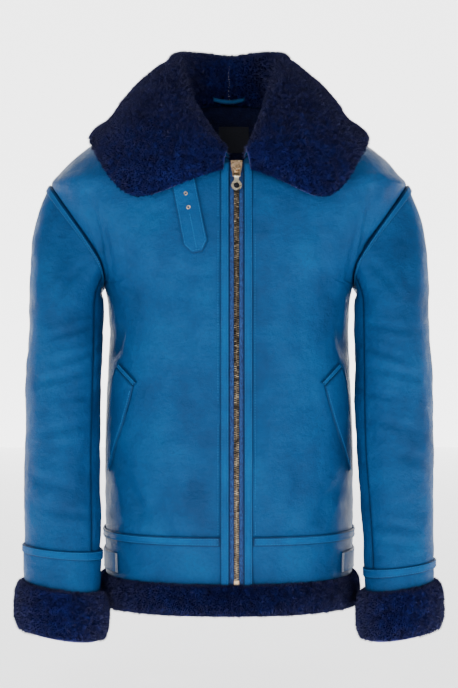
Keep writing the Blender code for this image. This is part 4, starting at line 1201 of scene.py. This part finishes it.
def pile(name, grid, outward, count, length, seed, slot="navy_wool", round_columns=False,
         comb=(0.0, 0.0, -0.25)):
    """Short tapering locks of wool standing on a grid, one triangle each, spread over it by area and set
    to stand out on its outer side."""
    rng = np.random.default_rng(seed)
    pts, normals = surface_normals(grid, round_columns)
    middle = pts.reshape(-1, 3).mean(axis=0)
    if outward is not None:
        facing = np.einsum("ijk,ijk->ij", normals, outward(pts, middle))
        if np.median(facing) < 0:
            normals = -normals
    rows, columns = pts.shape[0] - 1, pts.shape[1] - (0 if round_columns else 1)
    nxt = (np.arange(columns) + 1) % pts.shape[1]
    a, b = pts[:-1, :columns], pts[:-1][:, nxt]
    c, d = pts[1:][:, nxt], pts[1:, :columns]
    areas = np.linalg.norm(np.cross(c - a, d - b), axis=2).ravel()
    cells = rng.choice(rows * columns, size=count, p=areas / areas.sum())
    r, k = cells // columns, cells % columns
    u, v = rng.random((2, count, 1))
    m = nxt[k]
    def blend(field):
        top = field[r, k] * (1 - u) + field[r, m] * u
        low = field[r + 1, k] * (1 - u) + field[r + 1, m] * u
        return top * (1 - v) + low * v
    base = blend(pts)
    normal = blend(normals)
    normal /= np.linalg.norm(normal, axis=1, keepdims=True)
    noise.seed_set(seed)
    clump = np.array([tuple(noise.noise_vector(Vector(p) * 0.13)) for p in base])
    lean = normal + clump * 0.6 + rng.normal(0, 0.32, (count, 3)) + np.array(comb)
    lean /= np.linalg.norm(lean, axis=1, keepdims=True)
    side = np.cross(lean, rng.normal(0, 1, (count, 3)))
    side /= np.linalg.norm(side, axis=1, keepdims=True)
    tall = length * (0.65 + 0.6 * rng.random((count, 1))) * (1.0 + 0.35 * clump[:, :1])
    wide = 0.42
    corners = np.empty((count, 3, 3))
    corners[:, 0] = base - side * wide - normal * 0.6
    corners[:, 1] = base + side * wide - normal * 0.6
    corners[:, 2] = base + lean * tall
    mesh = bpy.data.meshes.new(name)
    mesh.vertices.add(count * 3)
    mesh.vertices.foreach_set("co", (corners * MM).ravel())
    mesh.loops.add(count * 3)
    mesh.loops.foreach_set("vertex_index", np.arange(count * 3))
    mesh.polygons.add(count)
    mesh.polygons.foreach_set("loop_start", np.arange(count) * 3)
    mesh.polygons.foreach_set("loop_total", np.full(count, 3))
    mesh.polygons.foreach_set("use_smooth", np.ones(count, dtype=bool))
    mesh.materials.append(WOOL)
    mesh.update(calc_edges=True)
    soft = normal * 0.75 + lean * 0.25
    soft /= np.linalg.norm(soft, axis=1, keepdims=True)
    mesh.normals_split_custom_set_from_vertices([tuple(s) for s in np.repeat(soft, 3, axis=0)])
    made = bpy.data.objects.new(name, mesh)
    bpy.context.scene.collection.objects.link(made)
    return stand_for(made, [])


# Locks of wool on each piece and their length
COLLAR_PILE = (136000, 4.2)
CUFF_PILE = (45000, 4.0)
HEM_PILE = (42000, 3.6)
HEM_BACK_PILE = (60000, 3.6)


def wool_pieces():
    away = lambda pts, middle: pts - middle
    for n, side in enumerate(("right", "left")):
        wool, skin = fine_collar(side)
        pts, normals = surface_normals(wool)
        check = np.array([[tuple(a - b) for a, b in zip(x, y)] for x, y in zip(wool, skin)])
        if np.median(np.einsum("ijk,ijk->ij", normals, check)) < 0:
            normals = -normals
        last = len(wool) - 1
        rough = [[p + Vector(nv) * tuft(p, 0.9) * min(1.0, (last - r) / 5) for p,
                  nv in zip(wool[r], normals[r])]
                 for r in range(last + 1)]
        made = wall(f"wool_collar_{side}", rough, skin, (WOOL, LEATHER), [f"collar_{side}"],
                    sharp=80)
        cloth(made)
        pile(f"wool_collar_pile_{side}", rough, lambda p, m, c=check: c, *COLLAR_PILE, 11 + n)
        outer = fur_rings(side, FUR_OUT, 16, CUFF_FULLNESS)
        inner = fur_rings(side, FUR_IN, 16, 1.0)
        made = wall(f"wool_cuff_{side}", outer, inner, (WOOL, SHADED_LINING), [f"fur_cuff_{side}"],
                    round_columns=True, sharp=80)
        cloth(made)
        pile(f"wool_cuff_pile_{side}", outer, away, *CUFF_PILE, 21 + n, round_columns=True)
    for n, (name, face, side, columns) in enumerate((("right", -1, -1, 70), ("left", -1, 1, 70),
                                                     ("back", 1, 0, 110))):
        outer = fur_hem_rows(name, face, side, FUR_OUT, 14, columns)
        inner = fur_hem_rows(name, face, side, FUR_IN, 14, columns)
        made = wall(f"wool_hem_{name}", outer, inner, (WOOL, SHADED_LINING), [f"fur_hem_{name}"],
                    sharp=80)
        cloth(made)
        front = lambda pts, middle, f=face: np.broadcast_to(np.array([0.0, float(f), 0.0]), pts.shape)
        pile(f"wool_hem_pile_{name}", outer, front, *(HEM_PILE if side else HEM_BACK_PILE), 31 + n)


def pockets():
    for side in ("right", "left"):
        sign = side_sign(side)
        outer, inner = [], []
        for r in range(41):
            share = r / 40
            a, b = along(POCKET_INNER, share), along(POCKET_OUTER, share)
            row_out, row_in = [], []
            for k in range(21):
                t = k / 20
                x, z = a[0] + (b[0] - a[0]) * t, a[1] + (b[1] - a[1]) * t
                near = min(t * math.dist(a, b), share * 140.0, (1 - share) * 60.0)
                out = PATCH_LIFT + STRIP_WALL - 1.0 * math.exp(-((near / 1.2) ** 2)) + 0.5 * min(1.0,
                                                                                                 near / 8.0)
                p = body_point(sign * x, z, -1, out)
                row_out.append(p + Vector((0, -1, 0)) * lie(p, 18.0) * 0.3)
                row_in.append(body_point(sign * x, z, -1, PATCH_LIFT))
            outer.append(row_out)
            inner.append(row_in)
        made = wall(f"leather_pocket_{side}", outer, inner, (LEATHER,), [f"pocket_patch_{side}"])
        cloth(made)
        low, high = POCKET_INNER[0], POCKET_OUTER[0]
        outer, inner = [], []
        for r in range(9):
            share = r / 8
            across = 1.2 + 5.8 * share
            row_out, row_in = [], []
            for k in range(25):
                t = k / 24
                x = low[0] + (high[0] - low[0]) * t - across * 0.7
                z = low[1] + (high[1] - low[1]) * t + across * 0.7
                near = min(share, 1 - share) * 5.8
                out = PATCH_LIFT + 3.4 - 1.3 * math.exp(-((near / 1.0) ** 2))
                row_out.append(body_point(sign * x, z, -1, out))
                row_in.append(body_point(sign * x, z, -1, PATCH_LIFT))
            outer.append(row_out)
            inner.append(row_in)
        made = wall(f"leather_welt_{side}", outer, inner, (TRIM,), [f"pocket_welt_{side}"])
        cloth(made)


def side_tabs():
    for side in ("right", "left"):
        sign = side_sign(side)
        outer, inner = [], []
        for r in range(17):
            z = -639.0 + 29.0 * r / 16
            half = smooth_table(BODY, z, 1)
            start, turn = angle_at(front_edge(side), z), sign * math.pi / 2
            first = start + (turn - start) * TAB_FROM / FRONT_COLUMNS
            last = turn - sign * math.pi * TAB_BACK / BACK_COLUMNS
            near_z = min(r, 16 - r) * 29.0 / 16
            row_out, row_in = [], []
            for k in range(49):
                share = k / 48 * 2
                face = -1 if share <= 1 else 1
                angle = first + (turn - first) * share if share <= 1 else turn + (last - turn) * (share - 1)
                near = min(near_z, k * 2.2, (48 - k) * 2.2)
                groove = 0.4 * math.exp(-(((near - 2.6) / 0.8) ** 2))
                out = LIFT + 2.8 - 1.1 * math.exp(-(near ** 2)) - groove
                base, normal = section_point(angle, z, face), body_normal(angle, z, face)
                row_out.append(base + normal * out)
                row_in.append(base + normal * (LIFT + 0.4))
            outer.append(row_out)
            inner.append(row_in)
        made = wall(f"leather_side_tab_{side}", outer, inner, (TRIM,), [f"side_tab_{side}"])
        cloth(made)


def strap():
    outer, inner = [], []
    for r in range(45):
        share = r / 44
        row_out, row_in = [], []
        for k in range(-12, 13):
            across = STRAP_HALF * k / 12
            cut = 0.13 * max(0.0, abs(k) / 12 - 0.4) / 0.6
            place = share * (1 - cut)
            run = 105.0
            near = min((1 - abs(k) / 12) * STRAP_HALF, (1 - share) * run)
            out = STRAP_LIFT + STRAP_WALL - 0.9 * math.exp(-((near / 0.9) ** 2))
            out -= 0.4 * math.exp(-(((near - 2.8) / 0.8) ** 2))
            row_out.append(strap_point(across, place, out))
            row_in.append(strap_point(across, place, STRAP_LIFT))
        outer.append(row_out)
        inner.append(row_in)
    made = wall("leather_collar_strap", outer, inner, (TRIM,), ["collar_strap"])
    cloth(made)


def small_pieces():
    outer, inner = [], []
    for k in range(33):
        x = -LOOP_HALF + 2 * LOOP_HALF * k / 32
        bow = 1 - (x / LOOP_HALF) ** 2
        back = section_point(angle_at(x, NECK_BACK_Z - 2.0), NECK_BACK_Z - 2.0, 1).y
        y = back - 13.0 - 2.5 * bow
        for grid, shift in ((outer, 0.0), (inner, 1.6)):
            grid.append([Vector((x, y + shift - (0.5 if shift == 0 else 0) * math.sin(math.pi * m / 6),
                                 NECK_BACK_Z + 8.0 - 4.0 * bow - 3.0 + m)) for m in range(7)])
    cloth(wall("leather_hang_loop", outer, inner, (TRIM,), ["hang_loop"]))
    outer, inner = [], []
    for r in range(19):
        z = -46.0 + 36.0 * r / 18
        row = []
        for grid, out in ((outer, -BODY_WALL - PATCH_LIFT), (inner, -BODY_WALL - PATCH_LIFT - 1.2)):
            start, end = angle_at(-15.0, z), angle_at(29.0, z)
            points = []
            for k in range(23):
                angle = start + (end - start) * k / 22
                p = section_point(angle, z, 1) + body_normal(angle, z, 1) * out
                points.append(p + Vector((0, SEAM_GAP / 2, 0)))
            grid.append(points)
    cloth(wall("woven_neck_label", outer, inner, (LABEL,), ["neck_label"]))


class Stitches:
    """Collects stitches along lines and makes one mesh of them."""

    def __init__(self):
        self.points, self.faces = [], []

    def add(self, line, pitch=3.6, length=2.7, radius=0.4):
        """line is a list of (point, way out of the surface)."""
        places = np.array([tuple(p) for p, _ in line])
        outs = np.array([tuple(n) for _, n in line])
        steps = np.linalg.norm(np.diff(places, axis=0), axis=1)
        travel = np.concatenate([[0.0], np.cumsum(steps)])
        count = int(travel[-1] / pitch)
        for k in range(count):
            spots = [pitch * (k + 0.5) + length * f for f in (-0.5, -0.28, 0.28, 0.5)]
            middle = [np.array([np.interp(s, travel, places[:, c]) for c in range(3)]) for s in spots]
            out = np.array([np.interp(spots[1], travel, outs[:, c]) for c in range(3)])
            out /= np.linalg.norm(out)
            ahead = middle[-1] - middle[0]
            ahead /= np.linalg.norm(ahead)
            side = np.cross(out, ahead)
            first = len(self.points)
            for p, lift, thick in zip(middle, (-0.25, 0.18, 0.18, -0.25), (0.5, 1.0, 1.0, 0.5)):
                for turn in range(4):
                    a = math.pi / 2 * turn + math.pi / 4
                    self.points.append(p + out * (lift + radius * thick * math.sin(a))
                                       + side * radius * thick * math.cos(a))
            for ring in range(3):
                for turn in range(4):
                    a, b = first + ring * 4 + turn, first + ring * 4 + (turn + 1) % 4
                    self.faces.append((a, b, b + 4, a + 4))

    def make(self, name, look):
        made = build(name, self.points, self.faces, (look,))
        return stand_for(made, [])


def body_line(places, face, out):
    """A line on the body through (distance across, height) places, as stitches want it."""
    made = []
    for x, z in places:
        angle = angle_at(x, z)
        made.append((body_point(x, z, face, out), body_normal(angle, z, face)))
    return made


def stitching():
    s = Stitches()
    for side in ("right", "left"):
        sign = side_sign(side)
        for inset in (2.2, STRIP_WIDTH - 2.2):
            x = front_edge(side) + sign * inset
            zs = fine_heights(FUR_TOP_Z + 3.0, NECK_FRONT_Z - 16.0, 6.0)
            s.add(body_line([(x, z) for z in zs], -1, PATCH_LIFT + STRIP_WALL + 0.45))
        s.add(body_line([(front_edge(side) + sign * (STRIP_WIDTH + 3.0), z) for z in
                         fine_heights(-580.0, -104.0, 6.0)], -1, 0.2))
        for z in (-592.6, -585.4):
            half = smooth_table(BODY, z, 1)
            edge = front_edge(side) + sign * (STRIP_WIDTH + 2.0)
            first, last = angle_at(edge, z), sign * math.pi / 2
            line = []
            for k in range(61):
                a = first + (last - first) * k / 60
                p, normal = section_point(a, z, -1), body_normal(a, z, -1)
                line.append((p + normal * (LIFT + STRIP_WALL + 0.1 - fold_depth(p.x, z)), normal))
            s.add(line)
        for shift in (-4.0, 4.0):
            z = CUFF_SEAM_Z[side] + shift
            line = []
            for k in range(97):
                a = 2 * math.pi * k / 96
                p, q = offset_sleeve(side, z, a, -LIFT - STRIP_WALL - 0.1), offset_sleeve(side, z, a, 10.0)
                line.append((p, (p - q).normalized()))
            s.add(line)
        for down in (0.014, 0.05):
            line = []
            for k in range(151):
                share = k / 150 % 1.0
                p, q = cap_point(side, share, down, -LIFT - STRIP_WALL - 0.15), cap_point(side, share, down,
                                                                                          3.0)
                line.append((p, (p - q).normalized()))
            s.add(line)
        inset = [(a[0] + 2.6, a[1]) for a in POCKET_INNER]
        places = [along(inset, k / 40) for k in range(3, 41)]
        s.add(body_line([(sign * x, z) for x, z in places], -1, PATCH_LIFT + STRIP_WALL + 0.2))
        outline = [(b[0] - 3.0, b[1] - 2.0) for b in POCKET_OUTER]
        places = [along(outline, k / 40) for k in range(2, 41)]
        s.add(body_line([(sign * x, z) for x, z in places], -1, PATCH_LIFT + STRIP_WALL + 0.2))
        low, high = POCKET_INNER[0], POCKET_OUTER[0]
        for across in (2.4, 5.8):
            places = [(low[0] + (high[0] - low[0]) * k / 10 - across * 0.7, low[1]
                       + (high[1] - low[1]) * k / 10 + across * 0.7)
                      for k in range(11)]
            s.add(body_line([(sign * x, z) for x, z in places], -1, PATCH_LIFT + 3.3))
        for z in (-636.0, -613.0):
            start, turn = angle_at(front_edge(side), z), sign * math.pi / 2
            first = start + (turn - start) * (TAB_FROM + 0.3) / FRONT_COLUMNS
            line = []
            for k in range(21):
                a = first + (turn - first) * k / 20
                p, normal = section_point(a, z, -1), body_normal(a, z, -1)
                line.append((p + normal * (LIFT + 2.6), normal))
            last = turn - sign * math.pi * (TAB_BACK - 0.3) / BACK_COLUMNS
            for k in range(1, 21):
                a = turn + (last - turn) * k / 20
                p, normal = section_point(a, z, 1), body_normal(a, z, 1)
                line.append((p + normal * (LIFT + 2.6), normal))
            s.add(line)
    for z in (-592.6, -585.4):
        line = []
        for k in range(101):
            a = -math.pi / 2 + math.pi * k / 100
            p, normal = section_point(a, z, 1), body_normal(a, z, 1)
            line.append((p + normal * (PATCH_LIFT + STRIP_WALL + 0.3), normal))
        s.add(line)
    for across in (-STRAP_HALF + 2.8, STRAP_HALF - 2.8):
        shares = [0.05 + 0.82 * k / 30 for k in range(31)]
        s.add([(strap_point(across, t, STRAP_LIFT + STRAP_WALL), strap_point(across, t, 2)
                - strap_point(across, t, 0))
               for t in shares])
    for ends in ((-STRAP_HALF + 2.8, 0.87, -6.0, 0.965), (STRAP_HALF - 2.8, 0.87, 6.0, 0.965),
                 (-6.0, 0.965, 6.0, 0.965)):
        line = []
        for k in range(9):
            a, t = ends[0] + (ends[2] - ends[0]) * k / 8, ends[1] + (ends[3] - ends[1]) * k / 8
            line.append((strap_point(a, t, STRAP_LIFT + STRAP_WALL), strap_point(a, t, 2)
                         - strap_point(a, t, 0)))
        s.add(line)
    shares = [0.5 + 0.44 * k / 20 for k in range(21)]
    s.add([(strap_point(0, t, STRAP_LIFT + STRAP_WALL), strap_point(0, t, 2) - strap_point(0, t, 0))
           for t in shares])
    s.make("stitching", THREAD)
    tacks = Stitches()
    for side in ("right", "left"):
        sign = side_sign(side)
        for k in range(22):
            z = -637.0 + 25.0 * k / 21
            start, turn = angle_at(front_edge(side), z), sign * math.pi / 2
            first = start + (turn - start) * TAB_FROM / FRONT_COLUMNS
            x = section_point(first, z, -1).x
            places = [(x - sign * 1.4, z), (x + sign * 2.0, z + 0.5)]
            tacks.add(body_line(places, -1, LIFT + 2.9), pitch=3.3, length=3.2, radius=0.42)
    tacks.make("white_bar_tacks", WHITE_THREAD)


def zip_teeth():
    """Two rows of metal teeth that mesh down the middle."""
    points, faces = [], []
    pitch = 3.0
    count = int((CHAIN_TOP_Z - 6.0 - CHAIN_END_Z) / pitch)
    corners = ((-1, -1), (1, -1), (1, 1), (-1, 1))
    for side in (-1, 1):
        for k in range(count):
            z = CHAIN_END_Z + 1.0 + pitch * (k + (0.5 if side > 0 else 0.0))
            here = body_point(ZIP_X, z, -1)
            up = (body_point(ZIP_X, z + 6.0, -1) - body_point(ZIP_X, z - 6.0, -1)).normalized()
            out = Vector((1, 0, 0)).cross(up).normalized()
            first = len(points)
            for x, half_z, level in ((3.2, 0.85, -0.6), (3.0, 0.75, 0.2), (0.4, 0.55, 0.25),
                                     (-0.9, 0.45, -0.5)):
                for low, sign in ((0, -1), (0, 1)):
                    points.append(here + Vector((side * x, 0, 0)) + up * (sign * half_z)
                                  + out * (CHAIN_FACE + 0.6 + level))
                for sign in (1, -1):
                    points.append(here + Vector((side * x, 0, 0)) + up * (sign * half_z)
                                  + out * (CHAIN_FACE - 2.2))
            for ring in range(3):
                for m in range(4):
                    a, b = first + ring * 4 + m, first + ring * 4 + (m + 1) % 4
                    faces.append((a, b, b + 4, a + 4))
            faces.append(tuple(first + m for m in range(4)))
            faces.append(tuple(first + 12 + m for m in range(4)))
    made = build("zip_teeth", points, faces, (BRASS,), smooth=False)
    bm = bmesh.new()
    bm.from_mesh(made.data)
    bmesh.ops.recalc_face_normals(bm, faces=bm.faces)
    bm.to_mesh(made.data)
    bm.free()
    stand_for(made, ["zip_chain"])


def metal_nodes():
    for node, look in (("zip_slider", GOLD), ("zip_link", GOLD), ("zip_pull", PALE_BRASS), ("zip_box", GOLD),
                       ("strap_eyelet_1", BRASS), ("strap_eyelet_2", BRASS), ("zip_pull_disc", DISC),
                       ("zip_tape_right", TAPE), ("zip_tape_left", TAPE)):
        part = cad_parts[node]
        part.data.materials.clear()
        part.data.materials.append(look)
        if look in (BRASS, GOLD, PALE_BRASS):
            soft = part.modifiers.new("soft_edges", "BEVEL")
            soft.width = 0.0003
            soft.segments = 2
            soft.limit_method = "ANGLE"


WORLD_LIGHT = 0.3
KEY_LIGHT = 25.0


def eyelet_hole_shade():
    """Painted shade: dark discs set inside the strap's two metal rings, standing for the shade in their
    holes.
    """
    points, faces = [], []
    for node in ("strap_eyelet_1", "strap_eyelet_2"):
        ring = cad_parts[node]
        places = np.array([tuple(ring.matrix_world @ v.co) for v in ring.data.vertices]) / MM
        middle = (places.max(axis=0) + places.min(axis=0)) / 2
        spread = np.linalg.svd(places - places.mean(axis=0))[2]
        out = spread[2] * (-1.0 if spread[2][1] > 0 else 1.0)
        reach = np.abs((places - middle) @ spread[0]).max() * 0.72
        first = len(points)
        for level in (-0.5, 0.25):
            for k in range(20):
                turn = 2 * math.pi * k / 20
                across = spread[0] * math.cos(turn) + spread[1] * math.sin(turn)
                points.append(middle + across * reach + out * level)
        faces += [(first + k, first + (k + 1) % 20, first + 20 + (k + 1) % 20, first + 20 + k)
                  for k in range(20)]
        faces += [tuple(first + k for k in range(19, -1, -1)), tuple(first + 20 + k for k in range(20))]
    made = build("strap_eyelet_hole_shade", points, faces, (DISC,), smooth=False)
    stand_for(made, [])


def studio():
    world = bpy.data.worlds.new("studio")
    bpy.context.scene.world = world
    world.use_nodes = True
    world.node_tree.nodes["Background"].inputs["Color"].default_value = (1.0, 1.0, 1.0, 1.0)
    world.node_tree.nodes["Background"].inputs["Strength"].default_value = WORLD_LIGHT
    for name, place, turn, size, power in (
        ("key", (-0.9, -2.4, 1.1), (62, 0, -20), (1.0, 0.8), KEY_LIGHT),
        ("fill", (1.6, -2.0, 0.3), (80, 0, 40), (1.0, 1.6), KEY_LIGHT * 0.35),
        ("low", (0.0, -2.6, -0.9), (104, 0, 0), (1.8, 0.6), KEY_LIGHT * 0.04),
    ):
        light = bpy.data.objects.new(name, bpy.data.lights.new(name, "AREA"))
        light.data.shape = "RECTANGLE"
        light.data.size, light.data.size_y = size
        light.data.energy = power
        light.location = place
        light.rotation_euler = tuple(math.radians(a) for a in turn)
        bpy.context.scene.collection.objects.link(light)
    wall_behind = build("backdrop", [(-6000, 5900, -800), (6000, 5900, -800), (6000, 5900, 5000),
                                     (-6000, 5900, 5000)],
                        [(0, 1, 2, 3)], ())
    floor = build("floor", [(-6000, -4000, -800), (6000, -4000, -800), (6000, 6000, -800),
                            (-6000, 6000, -800)],
                  [(0, 1, 2, 3)], ())
    for plane, glow in ((floor, 1.9), (wall_behind, 2.8)):
        n = Nodes("pale_" + plane.name)
        plane.data.materials.append(n.finish((0.95, 0.95, 0.95), 0.9, None, Emission_Strength=glow))
        n.shader.inputs["Emission Color"].default_value = (1.0, 1.0, 1.0, 1.0)


body_panels()
waist()
front_strips()
sleeves()
cuffs()
wool_pieces()
pockets()
side_tabs()
strap()
small_pieces()
stitching()
zip_teeth()
metal_nodes()
eyelet_hole_shade()
studio()
